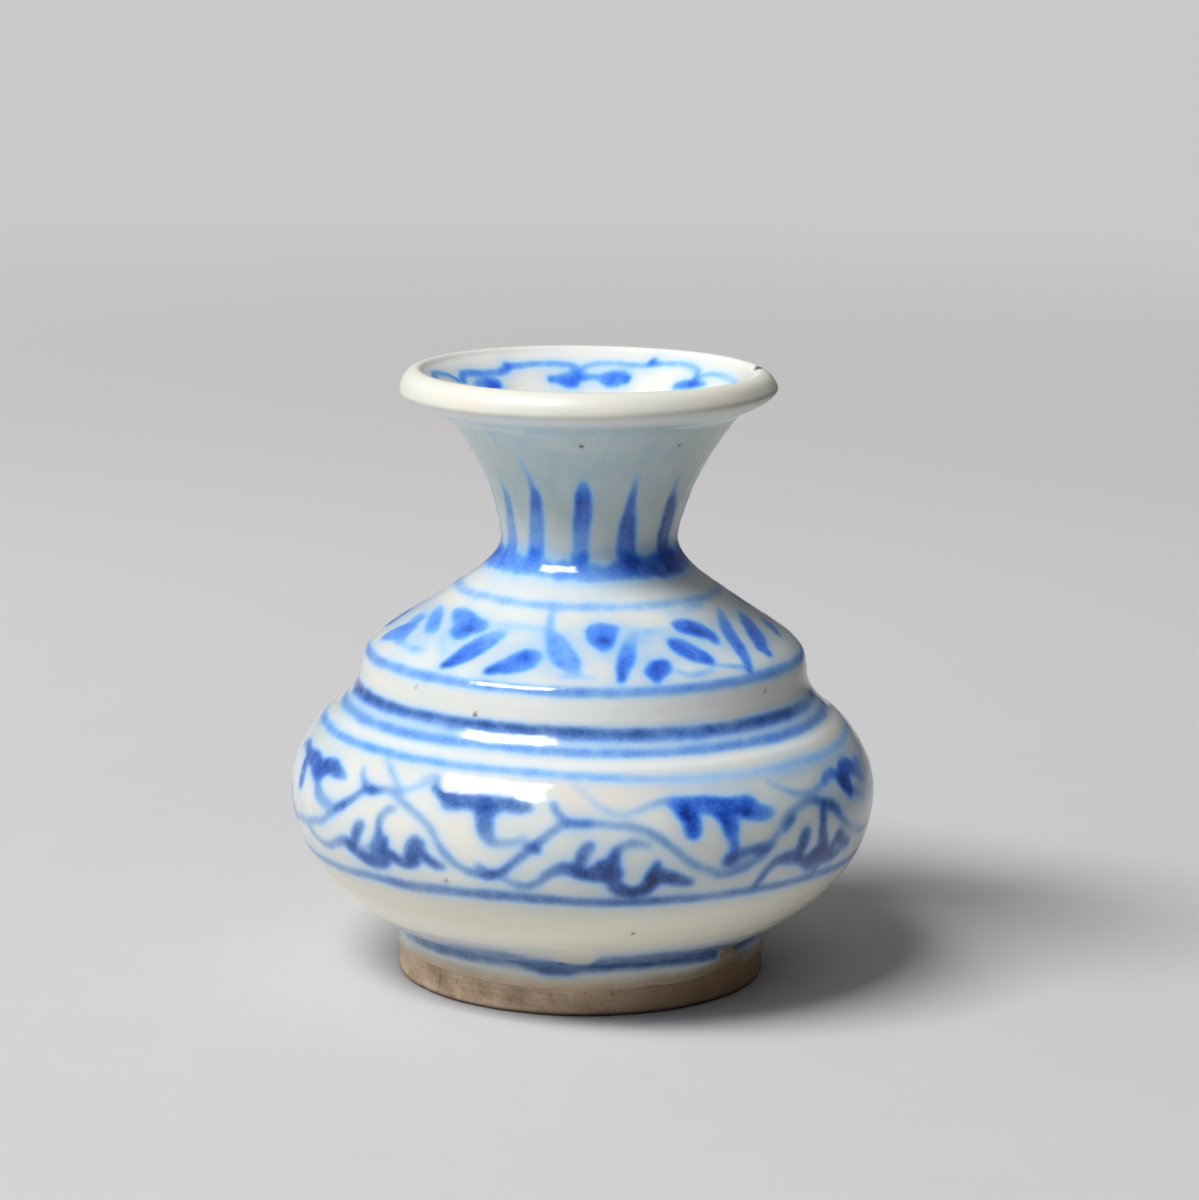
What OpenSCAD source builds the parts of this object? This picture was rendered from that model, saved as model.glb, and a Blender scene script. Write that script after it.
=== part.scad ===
// Small footed vase with a wide trumpet mouth, a stepped shoulder and a low round belly.
// It is thrown in sections that are luted together with slip, then glazed inside and out.
// Millimetres, +Z up, origin at the middle of the foot's resting face.

/* [Foot] */
// Outer diameter of the foot ring
foot_d = 42; // [39:0.5:44]
// Height of the foot ring, up to the corner under the belly
foot_h = 5.9; // [5:0.1:8]
// Width of the ring's wall at its top
foot_wall = 4.6; // [3:0.1:6]
// How much wider the recess is at the resting face than at its roof
foot_flare = 1.4; // [0:0.1:3]
// Bevel on the ring's lower edges
foot_bevel = 0.5; // [0.2:0.1:1]
// Height of the bare clay left below the glaze
bare_h = 2.6; // [1:0.1:4]

/* [Belly] */
// Greatest diameter of the belly
belly_d = 67.4; // [62:0.5:76]
// Height of the lower bowl, from the foot to the widest line
bowl_h = 16; // [13:0.5:20]
// Height from the widest line to the groove under the step
upper_h = 12.6; // [10:0.5:15]
// Wall of the lower bowl and the upper belly
belly_wall = 3.2; // [2.4:0.1:4]
// Thickness of the floor
floor_t = 3.4; // [2.5:0.1:5]
// Diameter of the flat part of the floor
floor_d = 28; // [20:1:34]

/* [Shoulder] */
// Diameter of the step's upright band
step_d = 51.4; // [46:0.5:54]
// Height of the upright band
step_h = 2.5; // [1.5:0.1:4]
// How far the band leans in over its height
step_lean = 0.4; // [0:0.1:1]
// Height of the round edge above the band
edge_h = 3.5; // [2.5:0.1:5]
// How far the round edge comes in
edge_in = 3.3; // [2:0.1:5]
// Height of the straight slope above the round edge
slope_h = 5.9; // [4:0.1:8]
// How far the slope comes in
slope_in = 8.6; // [6:0.1:9]
// Wall of the shoulder
shoulder_wall = 2.9; // [2:0.1:4]

/* [Neck] */
// Outer diameter at the waist
waist_d = 20; // [18:0.5:24]
// Height from the slope to the waist
neck_h = 4.8; // [3:0.1:7]
// Diameter of the throat, inside the waist
throat_d = 14.4; // [11:0.1:15]
// Height of the straight throat
throat_h = 3; // [1:0.1:5]

/* [Mouth] */
// Outer diameter of the mouth
mouth_d = 42.8; // [36:0.5:52]
// Height of the trumpet, from the waist to the underside of the lip
trumpet_h = 15.6; // [12:0.2:22]
// Height of the rolled lip
lip_h = 3.5; // [2.5:0.1:5]
// How far the rolled lip stands out from the trumpet
lip_out = 2.5; // [1.5:0.1:3.5]
// Distance from the outside of the mouth to the top of the lip
lip_crest = 1.9; // [1.2:0.1:2.4]
// Size of the soft inner edge of the lip
lip_edge = 0.5; // [0.3:0.1:1]

/* [Glaze and slip] */
// Thickness of the glaze
glaze_t = 0.35; // [0.2:0.05:0.5]
// Thickness of the slip in each seam
slip_t = 0.3; // [0.2:0.05:0.5]

/* [Hidden] */
$fn = 128;

// Straight pieces in each curve
curve_steps = 14;
small_steps = 6;

// Heights of the outline's corners, from the foot up
widest_z = foot_h + bowl_h;
groove_z = widest_z + upper_h;
band_z = groove_z + step_h;
slope_z = band_z + edge_h;
neck_z = slope_z + slope_h;
waist_z = neck_z + neck_h;
lip_z = waist_z + trumpet_h;
total_h = lip_z + lip_h;

// Radii of the same corners
foot_r = foot_d / 2;
belly_r = belly_d / 2;
step_r = step_d / 2;
band_r = step_r - step_lean;
edge_r = band_r - edge_in;
slope_r = edge_r - slope_in;
waist_r = waist_d / 2;
throat_r = throat_d / 2;
mouth_r = mouth_d / 2;
trumpet_r = mouth_r - lip_out;
crest_r = mouth_r - lip_crest;

// The foot's recess
recess_top_r = foot_r - foot_wall;
recess_low_r = recess_top_r + foot_flare / 2;

// The belly turns hollow, from a full curve to the groove, at this share of its height and width
turn_height_share = 0.695;
turn_width_share = 0.66;
turn_z = widest_z + upper_h * turn_height_share;
turn_r = belly_r - (belly_r - step_r) * turn_width_share;

// Handles of each curve, as shares of its width and height
bowl_start_shares = [0.45, 0.18];
bowl_end_shares = [0, 0.53];
belly_start_shares = [0, 0.57];
belly_end_shares = [0.23, 0.09];
groove_start_shares = [0.36, 0.06];
groove_end_shares = [0, 0.3];
edge_start_shares = [0, 0.45];
edge_end_shares = [0.5, 0.33];
neck_start_shares = [0.6, 0.29];
neck_end_shares = [0, 0.41];
trumpet_start_shares = [0.08, 0.28];
trumpet_end_shares = [0.36, 0.12];
lip_under_start_shares = [0.55, 0.35];
lip_under_end_shares = [0, 0.4];
lip_over_start_shares = [0, 0.5];
lip_over_end_shares = [0.5, 0];
lip_in_start_shares = [0.6, 0];
lip_in_end_shares = [0.2, 0.4];
flare_start_shares = [0.33, 0.14];
flare_end_shares = [0, 0.34];
throat_start_shares = [0, 0.35];
throat_end_shares = [0.5, 0.42];
vault_start_shares = [0.45, 0.2];
vault_end_shares = [0, 0.3];
hollow_start_shares = [0, 0.42];
hollow_end_shares = [0, 0.42];
basin_start_shares = [0, 0.6];
basin_end_shares = [0.6, 0];
// How much of the lip's height lies below its widest line
lip_widest_share = 0.46;

// A point on a cubic curve
function cubic(a, b, c, d, t) =
    a * pow(1 - t, 3) + b * 3 * t * pow(1 - t, 2) + c * 3 * t * t * (1 - t) + d * pow(t, 3);

// A curve from a to b without its first point; the handles are shares of the step from a to b
function bend(a, start_shares, end_shares, b, steps = curve_steps) =
    let (d = b - a,
         first = a + [d.x * start_shares.x, d.y * start_shares.y],
         last = b - [d.x * end_shares.x, d.y * end_shares.y])
    [for (i = [1 : steps]) cubic(a, first, last, b, i / steps)];

function reversed(path) = [for (i = [len(path) - 1 : -1 : 0]) path[i]];

// Outward direction of a path, with the clay on its left
function outward(path, i) =
    let (a = path[max(i - 1, 0)],
         b = path[min(i + 1, len(path) - 1)],
         d = (b - a) / norm(b - a))
    [d.y, -d.x];

// The same path moved into the clay by a depth
function sunk(path, depth) = [for (i = [0 : len(path) - 1]) path[i] - outward(path, i) * depth];

// Where a rising path crosses a height
function crossing(path, z) =
    let (k = [for (i = [0 : len(path) - 2]) if (path[i].y <= z && path[i + 1].y > z) i][0],
         a = path[k],
         b = path[k + 1])
    a + (b - a) * (z - a.y) / (b.y - a.y);

function part_above(path, z) = concat([crossing(path, z)], [for (p = path) if (p.y > z) p]);
function part_below(path, z) = concat([for (p = path) if (p.y < z) p], [crossing(path, z)]);
function part_between(path, low, high) = part_below(part_above(path, low), high);

// Outside of the glaze, from its edge on the foot up to the top of the lip
bare_point = [foot_r, bare_h];
foot_point = [foot_r, foot_h];
belly_point = [belly_r, widest_z];
turn_point = [turn_r, turn_z];
step_point = [step_r, groove_z];
band_point = [band_r, band_z];
edge_point = [edge_r, slope_z];
slope_point = [slope_r, neck_z];
waist_point = [waist_r, waist_z];
lip_point = [trumpet_r, lip_z];
mouth_point = [mouth_r, lip_z + lip_h * lip_widest_share];
crest_point = [crest_r, total_h];
outside = concat(
    [bare_point, foot_point],
    bend(foot_point, bowl_start_shares, bowl_end_shares, belly_point),
    bend(belly_point, belly_start_shares, belly_end_shares, turn_point),
    bend(turn_point, groove_start_shares, groove_end_shares, step_point, small_steps),
    [band_point],
    bend(band_point, edge_start_shares, edge_end_shares, edge_point, small_steps),
    [slope_point],
    bend(slope_point, neck_start_shares, neck_end_shares, waist_point),
    bend(waist_point, trumpet_start_shares, trumpet_end_shares, lip_point),
    bend(lip_point, lip_under_start_shares, lip_under_end_shares, mouth_point, small_steps),
    bend(mouth_point, lip_over_start_shares, lip_over_end_shares, crest_point, small_steps));

// Inside of the glaze, from the top of the lip down to the middle of the floor
inner_edge_point = [crest_r - lip_edge, total_h - lip_edge];
throat_top_point = [throat_r, waist_z + throat_h / 2];
throat_low_point = [throat_r, waist_z - throat_h / 2];
vault_point = [edge_r - shoulder_wall / 2, slope_z - shoulder_wall];
band_in_point = [step_r - shoulder_wall, groove_z];
widest_in_point = [belly_r - belly_wall, widest_z];
basin_point = [floor_d / 2, foot_h + floor_t];
floor_point = [0, foot_h + floor_t];
inside = concat(
    bend(crest_point, lip_in_start_shares, lip_in_end_shares, inner_edge_point, small_steps),
    bend(inner_edge_point, flare_start_shares, flare_end_shares, throat_top_point),
    [throat_low_point],
    bend(throat_low_point, throat_start_shares, throat_end_shares, vault_point),
    bend(vault_point, vault_start_shares, vault_end_shares, band_in_point, small_steps),
    bend(band_in_point, hollow_start_shares, hollow_end_shares, widest_in_point),
    bend(widest_in_point, basin_start_shares, basin_end_shares, basin_point),
    [floor_point]);

// The clay lies one glaze thickness under both surfaces
skin = concat(outside, inside);
core = sunk(skin, glaze_t);
crest_index = len(outside) - 1;
clay_outside = [for (i = [0 : crest_index]) core[i]];
clay_inside = reversed([for (i = [crest_index : len(core) - 1]) core[i]]);

// Each seam is a flat ring of slip, with its low face and its high face at these heights
foot_seam = [foot_h - slip_t, foot_h];
belly_seam = [widest_z - slip_t / 2, widest_z + slip_t / 2];
shoulder_seam = [groove_z - slip_t, groove_z];
neck_seam = [neck_z + slip_t, neck_z + slip_t * 2];

// The clay's wall between two heights, as a closed outline
function wall_between(low, high) =
    concat(part_between(clay_outside, low, high), reversed(part_between(clay_inside, low, high)));

module turned(outline) rotate_extrude() polygon(outline);

// Foot
module foot_ring() {
    clay = part_below(clay_outside, foot_seam[0]);
    outline = concat(
        [[recess_low_r + foot_bevel, 0], [foot_r - foot_bevel, 0], [foot_r, foot_bevel], bare_point],
        clay,
        [[recess_top_r, foot_seam[0]], [recess_low_r, foot_bevel]]);
    color([0.55, 0.42, 0.3]) turned(outline);
}

module foot_luting_slip() {
    clay = part_between(clay_outside, foot_seam[0], foot_seam[1]);
    outline = concat(clay, [[recess_top_r, foot_seam[1]], [recess_top_r, foot_seam[0]]]);
    color([0.72, 0.66, 0.56]) turned(outline);
}

// Belly
module lower_bowl() {
    outer = part_between(clay_outside, foot_seam[1], belly_seam[0]);
    inner = part_below(clay_inside, belly_seam[0]);
    outline = concat([[0, foot_seam[1]]], outer, reversed(inner));
    color([0.8, 0.77, 0.7]) turned(outline);
}

module belly_luting_slip() {
    color([0.72, 0.66, 0.56]) turned(wall_between(belly_seam[0], belly_seam[1]));
}

module upper_belly() {
    color([0.8, 0.77, 0.7]) turned(wall_between(belly_seam[1], shoulder_seam[0]));
}

// Shoulder
module shoulder_luting_slip() {
    color([0.72, 0.66, 0.56]) turned(wall_between(shoulder_seam[0], shoulder_seam[1]));
}

module shoulder_step() {
    color([0.8, 0.77, 0.7]) turned(wall_between(shoulder_seam[1], neck_seam[0]));
}

// Neck and mouth
module neck_luting_slip() {
    color([0.72, 0.66, 0.56]) turned(wall_between(neck_seam[0], neck_seam[1]));
}

module trumpet_neck() {
    inner = part_above(clay_inside, neck_seam[1]);
    outer = part_above(clay_outside, neck_seam[1]);
    inner_below_crest = [for (i = [0 : len(inner) - 2]) inner[i]];
    color([0.8, 0.77, 0.7]) turned(concat(outer, reversed(inner_below_crest)));
}

// Glaze
module outer_glaze() {
    color([0.85, 0.89, 0.9]) turned(concat(outside, reversed(clay_outside)));
}

module inner_glaze() {
    color([0.93, 0.94, 0.93]) turned(concat([crest_point], inside, clay_inside));
}

foot_ring();
lower_bowl();
upper_belly();
shoulder_step();
trumpet_neck();
foot_luting_slip();
belly_luting_slip();
shoulder_luting_slip();
neck_luting_slip();
outer_glaze();
inner_glaze();
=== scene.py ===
"""A small footed vase, thrown in sections and painted in blue under the glaze, around its CAD model."""
import math

import bpy
import numpy as np
from mathutils import Matrix, Quaternion, Vector


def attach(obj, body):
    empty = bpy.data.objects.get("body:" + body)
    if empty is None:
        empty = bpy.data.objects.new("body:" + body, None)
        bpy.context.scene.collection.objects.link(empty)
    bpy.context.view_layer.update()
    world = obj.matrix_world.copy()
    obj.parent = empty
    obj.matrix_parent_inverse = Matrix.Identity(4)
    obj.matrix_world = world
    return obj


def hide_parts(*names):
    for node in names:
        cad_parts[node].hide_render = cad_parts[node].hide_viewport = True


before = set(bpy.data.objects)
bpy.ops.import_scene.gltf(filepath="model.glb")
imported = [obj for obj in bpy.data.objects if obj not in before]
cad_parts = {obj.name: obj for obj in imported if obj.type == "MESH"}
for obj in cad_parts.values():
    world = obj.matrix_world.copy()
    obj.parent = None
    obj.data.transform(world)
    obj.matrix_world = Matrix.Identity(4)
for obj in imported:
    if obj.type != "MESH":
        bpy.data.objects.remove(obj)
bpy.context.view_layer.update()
MM = 0.001

# The outside's turning points, from the foot up to the lip's crest: radius and height in mm
FOOT_R, FOOT_H, BARE_H = 21.0, 5.9, 2.6
BELLY_R, WIDEST_Z = 33.7, 21.9
TURN = (28.42, 30.66)
STEP_R, GROOVE_Z = 25.7, 34.5
BAND_R, BAND_Z = 25.3, 37.0
EDGE_R, SLOPE_Z = 22.0, 40.5
SLOPE_R, NECK_Z = 13.4, 46.4
WAIST_R, WAIST_Z = 10.0, 51.2
TRUMPET_R, LIP_Z = 18.9, 66.8
MOUTH_R, MOUTH_Z = 21.4, 68.41
CREST_R, TOTAL_H = 19.5, 70.3
# The inside's turning points: the lip's inner edge and the top and foot of the throat
INNER_LIP, THROAT_TOP, THROAT_LOW = (19.0, 69.8), (7.2, 52.7), (7.2, 49.7)

# How far the thrown wall stands off that outline: height and distance in mm
SETTLED = [
    (0, .30), (1.5, .12), (3, .03), (4.6, .17), (6.6, .17), (8.6, .04), (10.5, 0), (22, 0), (25, .01),
    (27, .06), (28, .17), (28.5, .26), (29, .36), (29.5, .49), (30, .62), (30.5, .72), (31, .76), (31.5, .75),
    (32, .70), (32.5, .62), (33, .53), (33.8, .37), (34.3, .28), (34.8, .2), (35.6, .15), (36.6, .2),
    (37.6, .13), (38.4, .13), (39.2, .23), (39.8, .33), (40.4, .36), (41, .3), (41.8, .2), (43, .15),
    (46, .15), (47.5, .27), (48.5, .28), (49.5, .20), (51, .14), (52.5, .06), (54.5, -.06), (57, -.30),
    (60, -.34), (63, -.28), (64.2, -.18), (65, -.12), (65.6, 0), (65.9, .4), (66.2, 1.2), (66.5, 1.62),
    (66.8, 1.5), (67.2, 1.05), (67.6, .62), (68, .3), (68.5, .08), (70, 0)]
SETTLED_STEP, SETTLED_BLUR = 0.1, 0.3


def bend(a, start, end, b, steps=80):
    """A curve from a to b; start and end are the reach of its two handles, as shares of the way."""
    a, b = np.array(a, float), np.array(b, float)
    way = b - a
    p, q = a + way * start, b - way * end
    t = np.linspace(0, 1, steps + 1)[1:, None]
    return a * (1 - t)**3 + p * 3 * t * (1 - t)**2 + q * 3 * t * t * (1 - t) + b * t**3


def straight(a, b, steps=30):
    t = np.linspace(0, 1, steps + 1)[1:, None]
    return np.array(a) * (1 - t) + np.array(b) * t


def outside_path():
    bare, foot, belly = (FOOT_R, BARE_H), (FOOT_R, FOOT_H), (BELLY_R, WIDEST_Z)
    step, band, edge, slope = (STEP_R, GROOVE_Z), (BAND_R, BAND_Z), (EDGE_R, SLOPE_Z), (SLOPE_R, NECK_Z)
    waist, lip, mouth, crest = (WAIST_R, WAIST_Z), (TRUMPET_R, LIP_Z), (MOUTH_R, MOUTH_Z), (CREST_R, TOTAL_H)
    return np.vstack([
        [bare],
        straight(bare, foot),
        bend(foot, (.45, .18), (0, .53), belly),
        bend(belly, (0, .57), (.23, .09), TURN),
        bend(TURN, (.36, .06), (0, .3), step),
        straight(step, band),
        bend(band, (0, .45), (.5, .33), edge),
        straight(edge, slope),
        bend(slope, (.6, .29), (0, .41), waist),
        bend(waist, (.08, .28), (.36, .12), lip),
        bend(lip, (.55, .35), (0, .4), mouth),
        bend(mouth, (0, .5), (.5, 0), crest)])


def inside_path():
    crest = (CREST_R, TOTAL_H)
    return np.vstack([
        [crest],
        bend(crest, (.6, 0), (.2, .4), INNER_LIP),
        bend(INNER_LIP, (.33, .14), (0, .34), THROAT_TOP),
        straight(THROAT_TOP, THROAT_LOW)])


def length_along(path):
    return np.concatenate([[0], np.cumsum(np.hypot(*np.diff(path, axis=0).T))])


def outward(path):
    """Unit vectors that stand square on the path, away from the axis where it rises."""
    d = np.gradient(path, axis=0)
    d /= np.hypot(*d.T)[:, None]
    return np.stack([d[:, 1], -d[:, 0]], 1)


def around(r, a, z, shift=0):
    """Points at radius r, angle a (0 on the camera's side, growing to the right) and height z."""
    return np.stack([r * np.sin(a) + shift, -r * np.cos(a), z], -1)


def resampled(path, step):
    """The same path with points that are about step apart."""
    at = length_along(path)
    even = np.linspace(0, at[-1], max(2, int(round(at[-1] / step)) + 1))
    return np.stack([np.interp(even, at, path[:, k]) for k in (0, 1)], 1)


def bell(reach, spread):
    """Weights of a blur over 2 reach + 1 places; spread is in places."""
    weights = np.exp(-0.5 * (np.arange(-reach, reach + 1) / spread) ** 2)
    return weights / weights.sum()


def softened(path, blur, step=0.05):
    """The path with its corners rounded off over about blur mm."""
    points = resampled(path, step)
    reach = int(4 * blur / step)
    out = points.copy()
    for k in (0, 1):
        p = points[:, k]
        longer = np.concatenate([2 * p[0] - p[reach:0:-1], p, 2 * p[-1] - p[-2:-reach - 2:-1]])
        out[:, k] = np.convolve(longer, bell(reach, blur / step), "valid")
    out[0], out[-1] = points[0], points[-1]
    return out


def settled(z):
    at = np.arange(-3, 74, SETTLED_STEP)
    kernel = bell(12, SETTLED_BLUR / SETTLED_STEP)
    return np.interp(z, at, np.convolve(np.interp(at, *np.transpose(SETTLED)), kernel, "same"))


# Noise and curves that the shapes and the painting share
LATTICE_SIZE = 64
LATTICE = np.random.default_rng(7).uniform(-1, 1, (LATTICE_SIZE,) * 3)
SEED_SHIFT = np.array([7.31, 3.17, 5.77])


def noise3(p, scale, seed=0):
    """Smooth noise in -1..1 at points p (mm), with features of about scale mm."""
    q = p / scale + seed * SEED_SHIFT
    cell = np.floor(q).astype(int)
    share = q - cell
    share = share * share * (3 - 2 * share)
    total = 0
    for corner in np.ndindex(2, 2, 2):
        x, y, z = [share[..., k] if corner[k] else 1 - share[..., k] for k in range(3)]
        place = tuple((cell[..., k] + corner[k]) % LATTICE_SIZE for k in range(3))
        total = total + x * y * z * LATTICE[place]
    return total


def fractal(p, scale, seed=0, octaves=3):
    total = sum(noise3(p, scale / 2**k, seed + k) * 0.5**k for k in range(octaves))
    return total / (2 - 0.5**(octaves - 1))


def smooth(a, b, x):
    """0 at a and before it, 1 at b and past it, with a soft curve between; a may be the larger one."""
    t = np.clip((x - a) / (b - a), 0, 1)
    return t * t * (3 - 2 * t)


def between(a, b, c, d, x):
    """Rises from a to b and falls again from c to d."""
    return smooth(a, b, x) * smooth(d, c, x)


def rounded(points, step=0.15):
    """A curve through all the points; the first two of their columns are x and y in mm."""
    p = np.array(points, float)
    if len(p) == 1:
        return p
    ends = np.vstack([2 * p[0] - p[1], p, 2 * p[-1] - p[-2]])
    out = []
    for k in range(1, len(ends) - 2):
        a, b, c, d = ends[k - 1:k + 3]
        count = max(2, int(np.hypot(*(c - b)[:2]) / step))
        t = np.arange(count)[:, None] / count
        square, cube = 2 * a - 5 * b + 4 * c - d, 3 * b - a - 3 * c + d
        out.append(0.5 * (2 * b + (c - a) * t + square * t * t + cube * t**3))
    curve = np.vstack(out + [p[-1:]])
    curve[:, 2:] = np.maximum(curve[:, 2:], 0.02)
    return curve


class Canvas:
    """The pigment on one skin: a row for each point of its outline and a column for each angle."""
    WANDER, MOTTLE = 0.10, 0.24
    SPREAD, BUILD = 0.10, 0.08
    STROKE_HALO_END, RING_HALO_END = 2.2, 2.4

    def __init__(self, angle, height, length, radius):
        """angle: degrees of each column; height, length along the outline and radius in mm: of each row"""
        self.angle, self.height, self.length, self.radius = angle, height, length, radius
        turn = np.radians(angle)[None, :]
        self.p = p = around(radius[:, None], turn, height[:, None] + 0 * turn)
        self.dx = self.WANDER * fractal(p, 2.2, 11) + 0.5 * self.WANDER * noise3(p, 0.7, 31)
        self.dy = self.WANDER * fractal(p, 2.2, 21) + 0.5 * self.WANDER * noise3(p, 0.7, 41)
        self.mottle = 1 + self.MOTTLE * fractal(p, 2.6, 51) + 0.6 * self.MOTTLE * noise3(p, 0.8, 61)
        self.ink, self.haze, self.iron, self.steel = (np.zeros(p.shape[:2]) for _ in range(4))

    def along(self, height):
        rising = np.argsort(self.height)
        return np.interp(height, self.height[rising], self.length[rising])

    def veil(self, at, amount):
        self.haze[at] = 1 - (1 - self.haze[at]) * (1 - np.clip(amount, 0, 1))

    def lay(self, at, gap, width, tone, halo_end, soft, halo, reach, layer, steel, gain=1.0):
        """Lays one line's pigment on the rows and columns at; gap is the distance to the line's edge."""
        inner = np.minimum(soft, 0.75 * width)
        cover = smooth(1, 0, (gap + inner) / (inner + soft * 0.8))
        if layer == "iron":
            self.iron[at] = np.maximum(self.iron[at], cover * tone)
        elif layer == "haze":
            self.veil(at, cover * tone)
        elif layer == "wipe":
            self.ink[at] *= 1 - cover * tone
            self.haze[at] *= 1 - cover * tone * 0.8
        else:
            old, new = self.ink[at], cover * tone * gain * self.mottle[at]
            self.steel[at] = np.where(new > old, steel, self.steel[at])
            self.ink[at] = np.maximum(old, new) + self.BUILD * np.minimum(old, new)
            fading = np.exp(-np.maximum(gap, 0) / reach) * (gap < halo_end)
            self.veil(at, halo * np.clip(tone, 0, 1.1) * gain * fading)

    def stroke(self, points, turn=0.0, lift=0.0, soft=0.42, halo=0.26, reach=0.7, gain=1.0, layer="ink",
               grow=1.0, about=0.0, steel=0.0):
        """A stroke through (degrees, height, half width, tone), turned, lifted, or grown about an angle."""
        p = np.array(points, float)
        p[:, 0] = about + (p[:, 0] - about) * grow + turn
        p[:, 1] += lift
        along = self.along(p[:, 1])
        middle, radius = p[:, 0].mean(), np.interp(along, self.length, self.radius).mean()
        path = rounded(np.column_stack([np.radians(p[:, 0] - middle) * radius, along, p[:, 2], p[:, 3]]))
        pad = path[:, 2].max() + self.STROKE_HALO_END
        rows = np.where((self.length > path[:, 1].min() - pad) & (self.length < path[:, 1].max() + pad))[0]
        offset = (self.angle - middle + 180) % 360 - 180
        limit = np.degrees(np.abs(path[:, 0]).max() / radius + pad / max(self.radius[rows].min(), 3))
        columns = np.where(np.abs(offset) < limit)[0]
        at = np.ix_(rows, columns)
        out = self.radius[rows][:, None]
        x, dx = np.radians(offset[columns])[None, :], self.dx[at]
        y = self.length[rows][:, None] + self.dy[at]
        gap = np.full((len(rows), len(columns)), 9.0)
        tone, width = np.zeros_like(gap), np.ones_like(gap)
        for across, up, half, strength in path:
            new = np.hypot((x - across / radius) * out + dx, y - up) - half
            nearer = new < gap
            gap = np.where(nearer, new, gap)
            tone = np.where(nearer, strength, tone)
            width = np.where(nearer, half, width)
        gap = gap - self.SPREAD
        self.lay(at, gap, width, tone, self.STROKE_HALO_END, soft, halo, reach, layer, steel, gain)

    def ring(self, points, soft=0.42, halo=0.26, reach=0.7, layer="ink", steel=0.0):
        """A line all round through (degrees, height, half width, tone), sorted by degrees."""
        p = np.array(points, float)
        thrice = np.concatenate([p[:, 0] - 360, p[:, 0], p[:, 0] + 360])
        degrees = (self.angle + 180) % 360 - 180
        height, half, tone = (np.interp(degrees, thrice, np.tile(p[:, k], 3)) for k in (1, 2, 3))
        rng = np.random.default_rng(int(abs(p[0, 1]) * 100))
        turn = np.radians(self.angle)
        drift = sum(rng.normal(0, 1 / n**.6) * np.cos(n * turn + rng.uniform(0, 6.28)) for n in range(2, 26))
        swell = sum(rng.normal(0, 1 / n**.4) * np.cos(n * turn + rng.uniform(0, 6.28)) for n in range(3, 40))
        half = (half * (1 + 0.06 * swell))[None, :]
        middle = self.along(height + 0.035 * drift)[None, :]
        gap = np.abs(self.length[:, None] + 0.6 * self.dy - middle) - half - self.SPREAD
        self.lay(slice(None), gap, half, tone[None, :], self.RING_HALO_END, soft, halo, reach, layer, steel)


# The vine of the belly: its middle line, its half widths and its tones, each by degrees
VINE = [(-93.5,25.4),(-90,24.4),(-87,22.6),(-84,20.6),(-80,19.5),(-70,20),(-66,20.4),(-60,21.3),
        (-57,22.4),(-54,23.4),(-50,25),(-47,26.2),(-44,26.5),(-40,26.6),(-35,25.3),(-30,23.8),(-27,21.5),
        (-24,20),(-20,19.2),(-16,19.3),(-12,21.2),(-9,22.8),(-6,24.2),(-3,25.3),(0,25.5),(5,25.2),
        (10,24.8),(14,23.8),(18,22),(21,20.6),(25,19.4),(28,18.9),(32,19.3),(36,20.6),(39,22.2),(41,23.5),
        (44,24.7),(50,25.3),(54,24.6),(57,23.6),(60,22),(65,20.5),(70,19.5)]
VINE_WIDTHS = [(-94,.36),(36,.36),(41,.46),(54,.5),(60,.4),(70,.36)]
VINE_TONES = [(-94,.5),(-64,.5),(-56,.64),(-48,.66),(-40,.52),(-28,.54),(-21,.7),(-16,.98),(-11,.92),
              (-9,.82),(-6,.58),(0,.54),(8,.5),(16,.66),(24,.66),(36,.62),(41,.4),(50,.66),(58,.83),
              (66,.45),(70,.45)]

# Leaves of the belly: each stroke is a list of (degrees, height, half width, tone)
UPPER_A = [
    [(-84,27.1,.5,.7),(-80,27.4,.6,.8),(-77,27.1,.65,.85),(-74,26.9,.8,.95),(-71,26.9,.95,1),
     (-69,26.8,1,1),(-66.5,26.5,1.05,1)],
    [(-68,26.4,1,.92),(-65,26.4,1.2,.95),(-63.5,26.6,1.1,.95)],
    [(-66,25.8,.7,.9),(-64.5,25.4,.5,.8)],
    [(-66,26.7,.9,1),(-63,27.1,1,1.02),(-60.5,27.2,.95,1.02),(-58,26.9,.75,.9),(-55.8,26.8,.45,.7),
     (-54.6,26.7,.25,.5)],
    [(-75,26.1,.7,.9),(-73.8,25.1,.95,.95),(-73,24.2,1,.95)],
    [(-64.5,25.2,.7,.7),(-62.6,24.1,.85,.6),(-60,23.5,.8,.52),(-57,23.4,.55,.5)]]
UPPER_B = [
    [(-30.3,27.7,.4,.9),(-28.5,27.3,.65,.95),(-26.5,27,.95,.95),(-24,26.9,.95,.95),(-21.5,26.9,.95,.95),
     (-19.3,26.7,.95,1)],
    [(-27,26.3,.6,.95),(-25,26.3,.5,.9)],
    [(-19,26.8,.9,.95),(-17,26.9,.85,.95),(-15,26.9,.8,.92),(-12.7,26.75,.8,.9),(-11,26.7,.65,.85),
     (-10.2,26.6,.45,.6)],
    [(-17.6,26.1,.7,.9),(-16.4,26.4,.5,.88)],
    [(-19.3,26.2,1,1),(-18.7,25.3,1,.95),(-18.4,24.4,.95,.85),(-17.8,23.6,.8,.75),(-17,23.1,.5,.6)],
    [(-17.4,22.95,.45,.62),(-15,22.85,.38,.5),(-12.5,23.1,.34,.45),(-11,23.6,.25,.4)],
    [(-33.5,28.3,.6,.25),(-31.5,28.5,.8,.34),(-30,28.2,.7,.4)]]
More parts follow.
